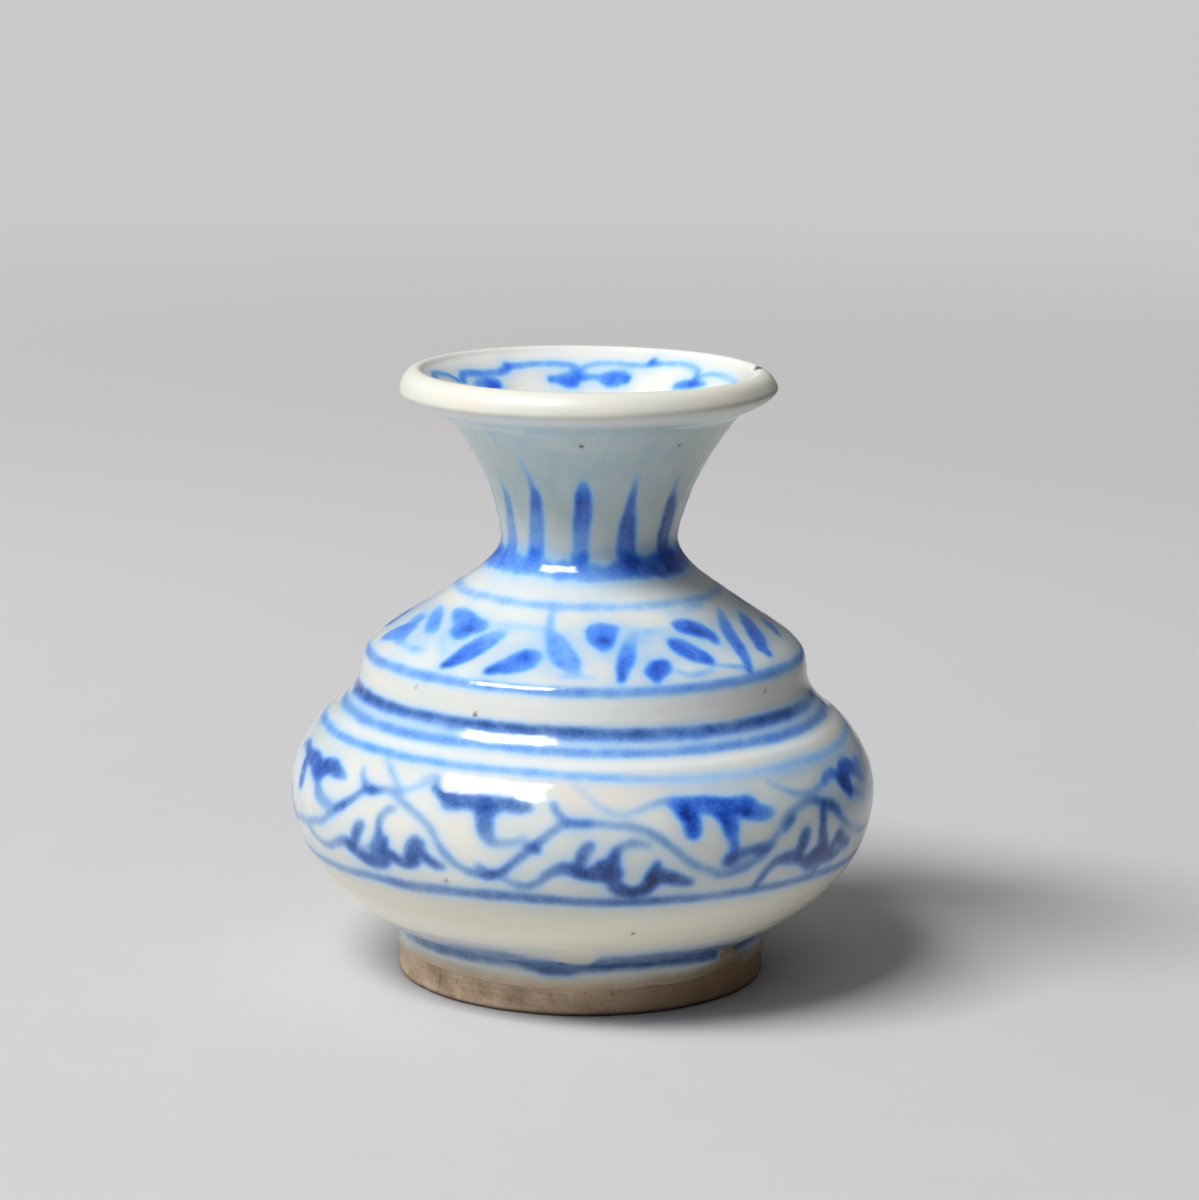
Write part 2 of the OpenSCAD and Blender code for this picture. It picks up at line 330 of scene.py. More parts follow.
UPPER_C_LEAF = [
    [(17.2,27.3,.6,.55),(18.4,26.9,.8,.8),(19.6,26.3,.95,.95)],
    [(18.8,27,.75,.85),(21,26.8,1,1),(24,26.7,1,.98),(26.5,26.4,1.1,.98),(28.5,26.1,1.1,.98)],
    [(20.3,26.3,.95,1.08),(20.9,25.2,1.05,1.15),(21.1,24.2,.9,1.18)],
    [(19.9,26,.45,1.28),(20.8,25,.5,1.4),(21,24.3,.4,1.4)],
    [(27.2,25.4,.4,1.15),(28,24.6,.45,1.22),(28.6,23.6,.35,1.12)],
    [(27,26.2,1.1,.98),(28.6,25.2,1.2,1),(29,24.2,1.05,.98),(29.2,23.1,.75,.95),(29.6,22,.6,.92),
     (29.4,21,.6,.92)],
    [(28.5,26.1,.95,.96),(31,26.1,1.1,.94),(33.2,25.8,1.25,.94),(36,25.2,.95,.84),(38.3,25.1,.75,.66),
     (39.4,25.2,.5,.42)],
    [(33.5,26.8,.35,.9),(35,26.4,.4,.85)],
    [(30.8,25.7,.35,1.25),(32.6,25.5,.55,1.5),(34.2,25.3,.35,1.3)]]
UPPER_C_STALK = [
    [(28.4,20.5,.75,1.02),(29.4,20.7,.6,1)],
    [(29.5,21.1,.45,.85),(32,21.2,.5,.9),(34.5,21.3,.6,.95),(36.8,21.3,.65,1),(38.4,21.6,.35,.8)],
    [(28.6,20.1,.5,.7),(32,19.8,.45,.5),(36,20.2,.35,.4)]]
UPPER_D = [
    [(55.5,26.4,.4,.55),(57.5,27,.6,.7),(60,27.1,.65,.75),(62,26.8,.7,.85)],
    [(61.8,26.4,.7,.95),(63.4,25.8,1.15,1.1),(64.4,25.2,1.05,1.15),(64.4,24.7,.7,1.1)],
    [(64,26.3,1.1,1.1),(66,26.9,1.15,1.1),(68.6,27.1,.95,1.05),(70.3,26.7,.8,.95)],
    [(69.6,26.5,.9,.8),(71.5,26.3,1,.62),(73.4,26.6,1,.6),(75.4,26.9,.6,.45)],
    [(71.8,25.6,.8,.45),(73.5,25.1,.6,.4)],
    [(66,24.6,.6,.5),(69,23.9,.6,.4),(72,23.2,.45,.3)]]
LOWER_A = [
    [(-71,20.3,.28,.5),(-66,19.3,.3,.5),(-62,18.6,.35,.5),(-58,18.6,.42,.6),(-55,19.3,.5,.7),
     (-52,19.9,.6,.85),(-50,19.7,.65,1)],
    [(-50.5,19.7,.65,1.1),(-49,19.9,.7,1.1),(-48.2,21,.68,1.05),(-47.2,22.1,.72,.95),(-46.4,22.5,.5,.85)],
    [(-49,19.3,.65,1.05),(-47,18.8,.65,1),(-44.5,18.5,.8,1.04),(-42,18.6,.85,.98),(-40.5,19,.8,1.05)],
    [(-42.5,19.5,1,.85),(-42,20.6,1.05,.76),(-41,21.2,.8,.84)],
    [(-40.5,20.6,.55,1),(-39.8,21.4,.35,.95)],
    [(-41.5,21.6,.55,.85),(-41.7,22.9,.45,.72),(-41.2,24,.45,.6),(-39.8,24.8,.42,.5),(-38.5,24.9,.28,.4)],
    [(-40.5,19.7,.8,1.05),(-38.3,19.6,.65,1.05),(-36.5,19.2,.6,1.05),(-34.8,19.3,.7,1.05),
     (-33.3,19.9,.9,1.08)],
    [(-33.8,20.3,.95,1.05),(-33.3,21.2,.9,1),(-32.7,21.9,.65,.98),(-31.6,21.6,.6,.98)],
    [(-31.8,20.8,.75,1.1),(-30,20.1,.6,1.05),(-28.3,19.6,.55,.9),(-27,19.5,.35,.75)],
    [(-46.3,19.6,.4,.45),(-44.4,20.2,.35,.35)]]
LOWER_B = [
    [(-15,18.9,.3,.5),(-12.5,18.3,.35,.6),(-10,18.2,.4,.65),(-7.8,18.9,.42,.7),(-6,19.8,.5,.75),
     (-3.5,20.4,.7,.8),(-1.2,20.3,.7,.95)],
    [(-1.2,20.1,.6,.92),(-.4,21.1,.62,.94),(.5,22.3,.68,.94),(1.4,22.9,.55,.84)],
    [(-.6,19.9,.55,1.05),(1.8,19.8,.8,1.1),(4,20,1.05,1.12),(6,19.9,.9,1.12)],
    [(3.6,20.8,.6,1.05),(5.6,21,.7,1.05)],
    [(5.8,20.8,.7,1.08),(5.9,21.8,.55,1),(6.3,22.4,.45,.85)],
    [(6.2,22.5,.38,.68),(8,23,.42,.55),(10,23.2,.42,.48),(12.3,22.9,.3,.4)],
    [(5.6,19.3,.75,1.12),(6.4,18.4,.75,1.12),(8,17.8,.68,1.12),(10,17.6,.66,1.12),(12,18,.75,1.12),
     (13.2,18.8,.8,1.15)],
    [(13.2,19.2,.8,1.18),(13.7,20.1,.6,1.15),(14,20.9,.28,1.05)],
    [(13.8,19.5,.85,1.15),(16.5,19.2,.75,1.1),(19,18.7,.6,1),(20.8,18.4,.45,.8)]]
LOWER_C = [
    [(35.3,16.7,.3,.7),(36.4,17.7,.4,.85),(38,18.8,.45,.85),(40,19.5,.55,.85),(42.5,19.6,.75,.95),
     (45.5,19.4,.85,1)],
    [(45.8,20,.7,1.05),(46.6,21,.85,1.08),(47.3,21.9,.75,1.02)],
    [(45.8,19.2,.6,.95),(48,18.5,.7,.9),(50,18,.8,.92),(52.7,17.2,.45,.85)],
    [(49.3,18.7,.85,1.05),(52,19,1.25,1.1),(55,18.5,1,1.05),(58,18.2,.68,1),(60,18.3,.45,.8)],
    [(53,19.6,1,1.05),(52.8,20.8,.85,1.02),(52.6,22,.7,.98),(52.9,23.4,.65,.92),(53.4,24.4,.6,.9)],
    [(54,24.4,.65,.9),(56.5,24,.7,.85),(58.5,23.4,.5,.7)],
    [(56.8,19.4,.6,1),(58.6,20.2,.85,1.1),(60.4,19.7,.8,1.05),(62.4,19.1,.65,.95),(64,18.8,.45,.8)],
    [(61.5,18.6,.5,.3),(64,18.2,.4,.25)]]
THORNS = [
    [(-50.6,28,.2,.55),(-49.2,27.2,.32,.6),(-47.5,26.5,.4,.8)],
    [(-5.6,27.1,.26,.7),(-4.6,26.3,.3,.65),(-3,25.4,.4,.75)],
    [(-47.5,26.3,.45,.95),(-45,26.3,.45,1),(-43.5,26.4,.3,.8)],
    [(-55,23.2,.5,.85),(-52.5,24,.48,.9)],
    [(-10,22.7,.42,.9),(-8.4,22.4,.4,.95)],
    [(-19.6,20.2,.22,.6),(-18.2,19.4,.35,.75),(-16.8,19.3,.42,.85)],
    [(-3,25.3,.42,.85),(1.5,25.3,.4,.8)],
    [(41.6,23.1,.42,.8),(44,24,.42,.8)]]
TENDRILS = [
    [(-46,29.6,.22,.25),(-43,28.7,.32,.38),(-40,27.6,.32,.4),(-38,26.7,.35,.42)],
    [(-39,26.6,.3,.4),(-36.5,27.1,.3,.35),(-34,27.7,.35,.32),(-31,28.2,.35,.3)],
    [(-1.5,29,.2,.18),(1,28,.25,.24),(3,27.1,.28,.26),(6,26.4,.28,.28),(8.5,26,.25,.25)],
    [(7,26.1,.2,.22),(10,26.4,.25,.28),(13,26.9,.35,.38),(16,27.3,.4,.45),(18,27.4,.45,.5)],
    [(40,28,.22,.3),(43,27.2,.28,.36),(46,26.4,.32,.42),(50,26,.32,.45),(54,26.3,.35,.5),
     (56,26.7,.35,.55)],
    [(45,28.6,.9,.10),(50,28.2,.9,.12)]]


def paint_belly(canvas):
    """The lines of the belly, and the vine with its leaves on the side that the photo shows."""
    # Washes of thin blue around the lines
    canvas.ring([(-180,33,.5,.38),(-80,33,.5,.38),(0,32.75,.45,.45),(60,32.55,.5,.5),(120,32.8,.5,.4)],
                layer="haze", soft=.5)
    canvas.ring([(-180,30.1,.6,.3),(-60,30.2,.6,.32),(-30,30.2,.6,.34),(0,29.7,.7,.34),(25,29,.9,.42),
                 (60,28.9,1,.45),(120,29.9,.7,.3)], layer="haze", soft=.7)
    canvas.ring([(-180,26,3,0),(50,26,3.2,0),(62,26,3.4,.4),(75,25,4,.55),(92,25,4,.5),(120,26,3,0)],
                layer="haze", soft=1.4)
    canvas.ring([(-180,27,3,.3),(-92,27,3,.25),(-80,26,3.4,.26),(-72,25.5,3,.1),(-62,26,3,0),(60,26,3,0),
                 (110,26,3,0),(150,26,3,.3)], layer="haze", soft=1.4)
    canvas.ring([(-180,33.75,.5,.8),(-80,33.8,.55,.95),(-70,33.8,.54,1.02),(-60,33.8,.52,.86),
                 (-45,33.8,.5,.7),(-30,33.75,.5,.64),(0,33.5,.55,.75),(20,33.35,.55,.8),(60,33.3,.6,.92),
                 (74,33.35,.56,.6),(96,33.5,.55,.75)], halo=.35, steel=.78)
    canvas.ring([(-180,34.1,.24,1),(-80,34.15,.26,1.05),(-45,34.1,.2,.95),(-20,34.05,.22,1.1),
                 (0,33.9,.26,.95),(12,33.75,.24,.85),(30,33.65,.28,.9),(60,33.5,.34,1.05),
                 (74,33.5,.24,.55),(96,33.8,.3,.9)], halo=.1, steel=1)
    canvas.ring([(-180,32,.46,.55),(-70,32,.5,.6),(-45,32.05,.52,.6),(-20,32.05,.5,.58),(0,31.9,.5,.57),
                 (25,31.7,.52,.6),(50,31.65,.54,.8),(60,31.6,.54,.72),(100,31.9,.48,.58)], halo=.35,
                 steel=.35)
    canvas.ring([(-180,30,.52,.42),(-86,29.95,.52,.46),(-70,29.97,.52,.54),(-46,30.05,.5,.53),
                 (-35,30.1,.48,.48),(-10,30.05,.46,.42),(0,29.85,.5,.44),(12,29.6,.52,.34),
                 (20,29.35,.52,.24),(35,29.15,.52,.24),(60,29.1,.54,.36),(100,29.7,.5,.4)], halo=.3,
                 soft=.55, steel=.2)
    canvas.ring([(-180,16.35,.5,.68),(-60,16.15,.45,.58),(-45,16.4,.5,.7),(-30,16.6,.5,.72),
                 (-15,16.75,.52,.82),(0,16.55,.5,.9),(14,16.4,.52,.9),(25,16.4,.48,.68),(40,16.35,.5,.72),
                 (60,16.2,.5,.78),(120,16.3,.5,.72)], halo=.35, steel=1)
    degrees = np.array(VINE)[:, 0]
    half, tone = (np.interp(degrees, *np.transpose(steps)) for steps in (VINE_WIDTHS, VINE_TONES))
    vine = np.column_stack([VINE, half, tone])
    for k in range(0, len(vine) - 1, 8):
        canvas.stroke(vine[k:k + 9], halo=.35, steel=.95)
    groups = ((TENDRILS, 1, .6), (UPPER_A, .97, .72), (UPPER_B, .97, .95), (UPPER_C_LEAF, .905, .1),
              (UPPER_C_STALK, .96, 1), (UPPER_D, .96, .4), (LOWER_A, .97, 1), (LOWER_B, 1.07, 1),
              (LOWER_C, .98, 1), (THORNS, 1, .9))
    for group, gain, steel in groups:
        for stroke in group:
            canvas.stroke(stroke, gain=gain, steel=steel, halo=.34)


def repeat_leaf(canvas, leaf, middle, at, rng, lift_range, grow_range, steel):
    """Draws a leaf of the seen side again at another angle, a little changed."""
    lift, grow = rng.uniform(-lift_range, lift_range), rng.uniform(*grow_range)
    for stroke in leaf:
        canvas.stroke(stroke, turn=at - middle, lift=lift, grow=grow, about=middle,
                      gain=rng.uniform(.88, 1.02), steel=steel, halo=.34)


def paint_belly_back(canvas):
    """The unseen side repeats the vine and its leaves, each a little changed."""
    rng = np.random.default_rng(5)
    # The angles of the vine's crests, and the vine from one of them to the next: share of the way, height
    crests = [92.5, 136, 179.5, 223, 266.5]
    wave = [(0,25.5),(.08,25.2),(.19,24.8),(.27,23.8),(.35,22),(.42,20.5),(.5,19.3),(.57,18.9),(.65,19.4),
            (.73,20.9),(.79,22.5),(.84,24),(.9,25),(1,25.5)]
    canvas.stroke([(70,19.5,.4,.62),(73,19.2,.4,.62),(77,20.1,.4,.62),(81,22.2,.4,.62),(85,24.2,.4,.62),
                   (88,25,.4,.62),(92.5,25.5,.4,.62)], halo=.35, gain=.84, steel=.8)
    for a, b in zip(crests[:-1], crests[1:]):
        vine = []
        for share, z in wave:
            z = z + rng.uniform(-.25, .25) * (0 < share < 1)
            vine.append((a + (b - a) * share, z, .37 + rng.uniform(-.04, .05),
                         .54 + rng.uniform(-.06, .1)))
        canvas.stroke(vine[:8], halo=.35, steel=.8)
        canvas.stroke(vine[7:], halo=.35, steel=.8)
    # Each leaf with the angle of its middle
    lowers = [(LOWER_A, -41), (LOWER_B, 5.5), (LOWER_C, 53)]
    uppers = [(UPPER_A, -67), (UPPER_B, -20), (UPPER_C_LEAF + UPPER_C_STALK, 28)]
    for k, at in enumerate(crests):
        spot = at + 3 + rng.uniform(-2, 2)
        repeat_leaf(canvas, *lowers[(k * 2 + 1) % 3], spot, rng, .3, (.86, .98), .85)
        canvas.stroke(THORNS[1], turn=at - 1 + rng.uniform(-1, 1), lift=rng.uniform(-.2, .3), steel=.9)
    for k, at in enumerate([113.5, 157.5, 201, 244]):
        spot = at + rng.uniform(-1.5, 1.5)
        repeat_leaf(canvas, *uppers[(k + 1) % 3], spot, rng, .25, (.88, 1), .15)
    for at in crests[:-1]:
        for stroke in TENDRILS[2:4]:
            turn, lift = at - 1 + rng.uniform(-1, 1), rng.uniform(-.2, .2)
            canvas.stroke(stroke, turn=turn, lift=lift, gain=1.25, steel=.6)


# Leaves and haze on the shoulder's slope
SHOULDER_LEAVES = [
    [(-79,40.1,1.1,.6),(-76,40.5,1.5,.68),(-73,40.9,1.7,.74),(-70.5,40.6,1.2,.66),(-66.8,40.2,.6,.5)],
    [(-77,42,1,.5),(-74,42,1,.55)],
    [(-72,43.3,.7,.46),(-68,43,.95,.56),(-64,42.5,1.1,.64),(-60.5,42,.95,.56),(-57.5,41.8,.6,.42)],
    [(-59,43.8,.5,.55),(-56,43.7,.95,.66),(-51,43.4,1.3,.72),(-46.5,43.1,1.4,.74),(-42.5,43,1.25,.74),
     (-39.5,43,.8,.6)],
    [(-48.5,42.5,1.1,.7),(-45.5,42.3,1.1,.76),(-43.6,42.3,.8,.7)],
    [(-45.4,42.7,.5,1.06),(-43.4,42.6,.5,1.1)],
    [(-41,39.5,.45,.95),(-39.4,39.9,.95,.95),(-37.6,40.5,1.3,.9),(-36,41.2,1.45,.8),(-33.6,42,1.35,.62),
     (-31.2,42.6,1,.46)],
    [(-41.2,39.5,.35,1.05),(-39.9,39.6,.35,1)],
    [(-27.1,39.5,.45,.95),(-25.3,39.8,.85,.85),(-22.5,40.2,1.05,.78),(-20,40.7,1.2,.72),
     (-18,40.9,1.3,.72),(-16.4,41,1.2,.66),(-15,40.9,.8,.5)],
    [(-22,39.9,.9,.76),(-18.5,40.2,1,.68),(-16,40.5,.8,.56)],
    [(-18.6,41.3,.5,.88),(-18.2,40.8,.45,.88)],
    [(-27,39.6,.35,1.05),(-25.9,39.7,.35,1)],
    [(-14.6,45.1,.35,.34),(-14.3,44.2,.4,.4),(-13,43.2,.7,.46),(-10.4,42.4,1.15,.56),(-7.8,41.5,1.45,.6),
     (-5.4,40.8,1.3,.6),(-3.4,40.2,.8,.52),(-2,39.9,.35,.4)],
    [(-6,39.5,.35,.3),(-2,39.5,.4,.34),(2,39.4,.3,.25)],
    [(1,43.4,.6,.68),(3.4,43.6,.95,.72),(6.4,43.6,.95,.72),(9.6,43.6,.65,.66)],
    [(1.9,43.2,.8,.68),(3.8,42.8,1.2,.76),(5.3,42.5,1.2,.8),(5.3,42,.65,.76)],
    [(7.8,43.3,.8,.68),(6.3,42.7,1,.76)],
    [(4.4,42.65,.42,1.06),(6.6,42.5,.42,1.08)],
    [(9.3,39.3,.3,.9),(10.4,40.2,.78,.88),(11.6,41,1,.82),(12.7,41.7,.92,.66),(14.2,42.4,.75,.44),
     (16.5,43,.55,.3),(18.2,43.3,.3,.2)],
    [(9.1,39.2,.3,.95),(9.6,39.4,.28,.9)],
    [(18.9,39.75,1.05,1.03),(20.6,40.05,1.2,1.05),(22,40.25,.95,1)],
    [(18,39.8,.6,1),(18.8,39.25,.5,1.02)],
    [(18.6,39.7,.3,1)],
    [(28.8,42,.8,.92),(30.4,41.7,1.2,.95),(32.7,41.2,1.3,.95),(34.8,40.8,1.15,.95),(36.8,40.4,.8,.93)],
    [(29,42.1,.4,1.05),(30,42.1,.4,1)],
    [(34.1,43.5,.6,.84),(36.4,43.3,1.1,.9),(39.5,43.1,1.3,.97),(42.4,42.7,1.2,.98),(44.3,42.3,.9,.92),
     (44.4,41.8,.6,.86)],
    [(41.2,42.8,.6,1.12),(42.8,42.5,.45,1.1)],
    [(48.1,38.9,.3,.95),(49.8,39.8,.6,.88),(51.4,40.8,.95,.86),(53,41.8,1.05,.8),(55.4,42.7,.95,.7),
     (58.6,43.5,.7,.55),(61.6,44,.4,.38)],
    [(60.2,40.3,.7,.8),(62.8,40.8,1.1,.86),(66,41.5,1.3,.88),(69.5,42.3,1.15,.82),(73,42.9,.7,.6)],
    [(60.6,39.7,.4,.85),(61.8,39.9,.5,.78)],
    [(79,40.6,.5,.6),(82,41.2,.9,.7),(85,41.6,.8,.6)],
    [(25,39.7,.3,.3),(28.5,39.3,.35,.4),(32,39.3,.4,.46),(36,39.5,.3,.36)],
    [(37,39.9,.25,.38),(42,39.6,.28,.46),(47,39.2,.3,.58)],
    [(-37,43.3,.35,.2),(-30,43.5,.4,.26),(-22,43.5,.4,.24),(-15,43.3,.35,.22)],
    [(12,43.8,.3,.16),(18,43.3,.35,.2),(22,43.2,.4,.3),(27,43.3,.3,.18)],
    [(34,44.7,.4,.14),(42,44.6,.5,.2),(48,44.8,.5,.36),(53,44.8,.35,.34)],
    [(-68,40.2,.35,.34),(-62,40.1,.35,.34),(-56,40.1,.45,.42),(-53,40.1,.25,.28)],
    [(-53,42,.4,.2),(-49,41,.4,.2),(-45,40.3,.35,.18)]]

# Patches of the ground that stayed free of blue
CREAM = [
    [(-66,39.6,.4,.4),(-58,39.3,.5,.5),(-48,39.2,.5,.5)],
    [(-57,42,.3,.5),(-53,41.2,.5,.7),(-49,40.3,.5,.7),(-46,39.4,.4,.6)],
    [(-52,45,.2,.5),(-40,44.8,.3,.5),(-28,44.6,.5,.6),(-18,44.4,.5,.6)],
    [(-26,42.5,.5,.6),(-20,42.7,.5,.6)],
    [(-11,44.6,.4,.6),(-5,44.4,.6,.7),(-2,43,.4,.5)],
    [(-1,42,.3,.5),(3,40.6,.7,.75),(6,39.6,.5,.7)],
    [(14,44.6,.4,.6),(22,44.4,.5,.7),(30,44.4,.4,.6)],
    [(19,41.8,.4,.4),(24,42,.6,.6)],
    [(41,41.2,.4,.6),(44,40.4,.5,.7),(46,40.1,.3,.5)],
    [(56,40.6,.4,.5),(58,41.6,.4,.5),(63,43,.5,.5)],
    [(-30,40.8,.3,.5),(-31,39.6,.4,.5)],
    [(100,44.4,.5,.5),(130,44.5,.5,.5)],
    [(150,39.6,.4,.5),(170,39.5,.4,.5)],
    [(210,44.5,.5,.5),(240,44.5,.4,.5)]]

# Thin blue water beside the leaves
WASHES = [
    [(-14,40.6,.7,.35),(-10,39.9,.9,.45),(-7,39.4,.5,.3)],
    [(15,42.3,.7,.5),(18.5,42.5,.9,.7),(21,42.3,.5,.4)]]
LEAF_BRUSH = dict(soft=.5, halo=.5, reach=.75)
# How the leaves repeat on the unseen side: first, last, turn, lift and gain
LEAF_COPIES = ((3, 8, 147, 0, .95), (8, 12, 149, 0, .95), (12, 32, 152, -.1, .97), (14, 20, 228, .1, .95),
               (20, 25, 230, 0, .92))


def paint_shoulder(canvas):
    """The wreath of leaves on the slope, between two thin lines."""
    canvas.ring([(-180,45.5,.55,.4),(-60,45.5,.55,.37),(-20,45.5,.55,.42),(0,45.5,.55,.4),
                 (25,45.5,.52,.36),(60,45.3,.55,.42),(120,45.5,.5,.4)], halo=.4, soft=.7, steel=.25)
    canvas.ring([(-180,38.1,.5,.6),(-75,38.05,.5,.62),(-55,38.15,.5,.6),(-30,38.15,.5,.55),(0,38.1,.5,.6),
                 (25,38.1,.5,.58),(60,38.15,.5,.62),(120,38.15,.5,.6)], halo=.4, soft=.5, steel=.3)
    canvas.ring([(-180,42,3.2,.3),(-70,42,3.2,.5),(-35,42,3.2,.34),(-14,42,3,.48),(4,42,3,.42),
                 (18,42,3,.52),(42,42,3,.58),(60,42,3.2,.4),(120,42,3.2,.36)], layer="haze", soft=1.6)
    for patch in CREAM:
        canvas.stroke(patch, layer="wipe", soft=.9)
    canvas.ring([(-180,46.9,.8,.16),(-20,46.9,.8,.16),(0,46.9,.8,.2),(45,46.9,.8,.24),(75,46.9,.8,.16)],
                layer="haze", soft=1)
    for wash in WASHES:
        canvas.stroke(wash, layer="haze", soft=.9)
    for stroke in SHOULDER_LEAVES:
        dark_touch = len(stroke) == 2 and stroke[0][3] > 1.02
        canvas.stroke(stroke, gain=.96, steel=.85 if dark_touch else .15, **LEAF_BRUSH)
    for first, last, turn, lift, gain in LEAF_COPIES:
        for stroke in SHOULDER_LEAVES[first:last]:
            canvas.stroke(stroke, turn=turn, lift=lift, gain=gain, **LEAF_BRUSH)


# The lappets of the neck, with how grey and how strong each one is
LAPPETS = [
    [(-60.8,49.4,1.25,.6),(-60.3,51,1.1,.52),(-59.2,53,.95,.52),(-57.6,55,.75,.58),(-56.6,56.2,.7,.58),
     (-56.6,57.4,.4,.36),(-56.8,58.6,.25,.2)],
    [(-37.2,49.4,1.3,.76),(-36.4,51,1.15,.66),(-35.3,53,1.05,.66),(-33.9,55,.9,.78),(-32.9,56.4,.8,.88),
     (-32.4,57.4,.65,.85),(-33.2,58.4,.32,.5),(-33.8,59.8,.28,.4),(-34.7,61.2,.22,.3),(-35,61.8,.12,.16)],
    [(-6.8,49.4,1.15,.8),(-6.2,51,1,.56),(-5.6,53,.98,.64),(-4.9,55,.98,1.04),(-4.7,56.6,.95,1.2),
     (-4.6,57.8,.85,1.1),(-4.6,58.7,.55,.7),(-4.6,59.2,.3,.35)],
    [(23.8,49.6,1.25,.84),(23.6,51,1.12,.86),(23.2,53,1.05,.98),(22.6,54.6,.9,1.14),(22.2,56,.6,1.08),
     (22.2,57.2,.36,.88),(22.2,58.6,.24,.5),(22.2,60,.13,.25)],
    [(54.6,49.6,1.3,1),(54.6,51.5,1.2,.85),(54.4,53.6,1.15,1),(53,55.4,1.05,.95),(51.6,56.4,.8,.85),
     (50.2,57.4,.4,.5),(49.6,59,.22,.26)]]
LAPPET_STEEL = (.45, .05, 0, .3, .85)
LAPPET_GAIN = (1, .84, .88, .91, 1.06)
LAPPET_BRUSH = dict(soft=.55, halo=.22, reach=.6)
# On the unseen side: the angle of each lappet and which one is drawn again
LAPPET_COPIES = ((80.5, 4), (109, 3), (137.5, 2), (166, 3), (194.5, 1), (223, 2), (250, 4), (275.5, 0))


def paint_neck(canvas):
    """The line round the neck and the lappets that stand on it."""
    canvas.ring([(-180,49,1.35,.9),(-85,48.95,1.35,.72),(-60,48.95,1.3,.7),(-40,48.85,1.2,.6),
                 (-20,48.8,1.15,.6),(-6,48.75,1.15,.6),(8,48.65,1.05,.62),(18,48.9,1.3,.74),
                 (24,49.05,1.4,.78),(28,49.1,1.4,.92),(36,49,1.35,.9),(44,49,1.35,1.06),(52,49,1.4,1.2),
                 (62,49,1.4,1.14),(90,49,1.35,1)], soft=.75, halo=.4, steel=0)
    canvas.ring([(-180,50.6,1,.4),(-85,50.6,1,.62),(-48,50.4,.9,.66),(-20,50.4,.8,.55),(8,50.4,.95,.6),
                 (60,50.5,.95,.45)], layer="haze", soft=1)
    canvas.stroke([(-52,66,.5,.25),(-44,64.6,.6,.3),(-38,62.4,.4,.2)], layer="haze", soft=.9)
    canvas.ring([(-180,47.7,.4,.4),(-40,47.6,.4,.4),(0,47.6,.4,.4),(40,47.5,.4,.4)], layer="haze",
                soft=.5)
    for lappet, steel, gain in zip(LAPPETS, LAPPET_STEEL, LAPPET_GAIN):
        canvas.stroke(lappet, steel=steel, gain=gain, **LAPPET_BRUSH)
    canvas.stroke([(-38,49.6,.9,.78),(-37,50.4,.8,.76)], soft=.5)
    canvas.stroke([(25,49.7,.7,1),(28.5,49.7,.6,1.05),(31,49.6,.4,1)], soft=.6)
    canvas.stroke([(-5,49.8,.8,.85),(-4,50.4,.6,.75)], soft=.5)
    rng = np.random.default_rng(3)
    for at, which in LAPPET_COPIES:
        lappet = LAPPETS[which]
        lift, gain = rng.uniform(-.4, .3), rng.uniform(.9, 1.1)
        canvas.stroke(lappet, turn=at - lappet[0][0], lift=lift, gain=gain, steel=.5, **LAPPET_BRUSH)


def paint_foot(canvas):
    """The corner line between bowl and foot, widened into the crease above it as painted shade."""
    canvas.ring([(-180,7.9,1.4,.34),(-60,7.4,1.4,.34),(-30,8.4,1.4,.36),(-10,8.4,1.2,.3),(20,8.4,1.4,.36),
                 (60,7.9,1.4,.34),(120,7.9,1.4,.34)], layer="haze", soft=2.4)
    # Partly painted shade: this wide soft band spreads the line's blue up the crease between bowl and foot,
    # where shade falls.
    canvas.ring([(-180,6.6,1,.62),(-80,5.9,.5,.32),(-70,6,.55,.45),(-50,6.55,.75,.62),(-32,6.95,1.05,.78),
                 (-20,7.1,1.2,.8),(-10,6.5,1,.7),(-2,6.2,.7,.64),(5,6.9,1.1,.86),(20,7.1,1.3,1.02),
                 (40,6.9,1.2,.98),(50,6.3,.8,.9),(62,6.4,.9,.9),(120,6.6,1,.66)], halo=.3, reach=1.5,
                 soft=2.6, steel=1)
    canvas.ring([(-180,5.8,.4,.85),(-84,5.62,.34,.6),(-70,5.68,.38,.7),(-50,5.78,.42,.84),
                 (-32,5.92,.42,.84),(-20,5.98,.4,.86),(-10,5.5,.5,.9),(-4,5.4,.5,.94),(1,5.75,.4,.95),
                 (8,5.9,.4,1.1),(18,5.9,.42,1.16),(28,5.9,.42,1.08),(38,5.7,.42,1),(46,5.5,.4,1.05),
                 (62,5.8,.35,1),(120,5.8,.4,.9)], halo=.15, soft=.6, steel=1)
    canvas.stroke([(-12,5.3,.35,1),(-8,5.15,.4,1.08),(-4,5.25,.35,1)], soft=.5, steel=1)
    # Dabs under the line at the back
    for a in (150, 214, 262):
        canvas.stroke([(a-5,5.5,.4,.9),(a,5.2,.45,1.05),(a+4,5.4,.4,.9)], soft=.5, steel=1)
    # The thick drop of glaze that covers the line
    canvas.stroke([(-1.2,12,1.2,.5),(-1.4,10,2,.85),(-1.4,8.6,2.3,.97),(-1.2,7.5,2.1,.97),
                   (-.6,6.9,1.5,.95)], layer="wipe", soft=.8)
    # Where the line is rubbed off, beside the worn spot and at the back
    canvas.stroke([(50,8.4,.5,.5),(50.5,6.8,1.1,.9),(51.5,5.4,1.5,.95),(52,4,1.5,.9)], layer="wipe",
                  soft=.7)
    canvas.stroke([(128,7,.8,.6),(128,6,1,.6)], layer="wipe", soft=.8)


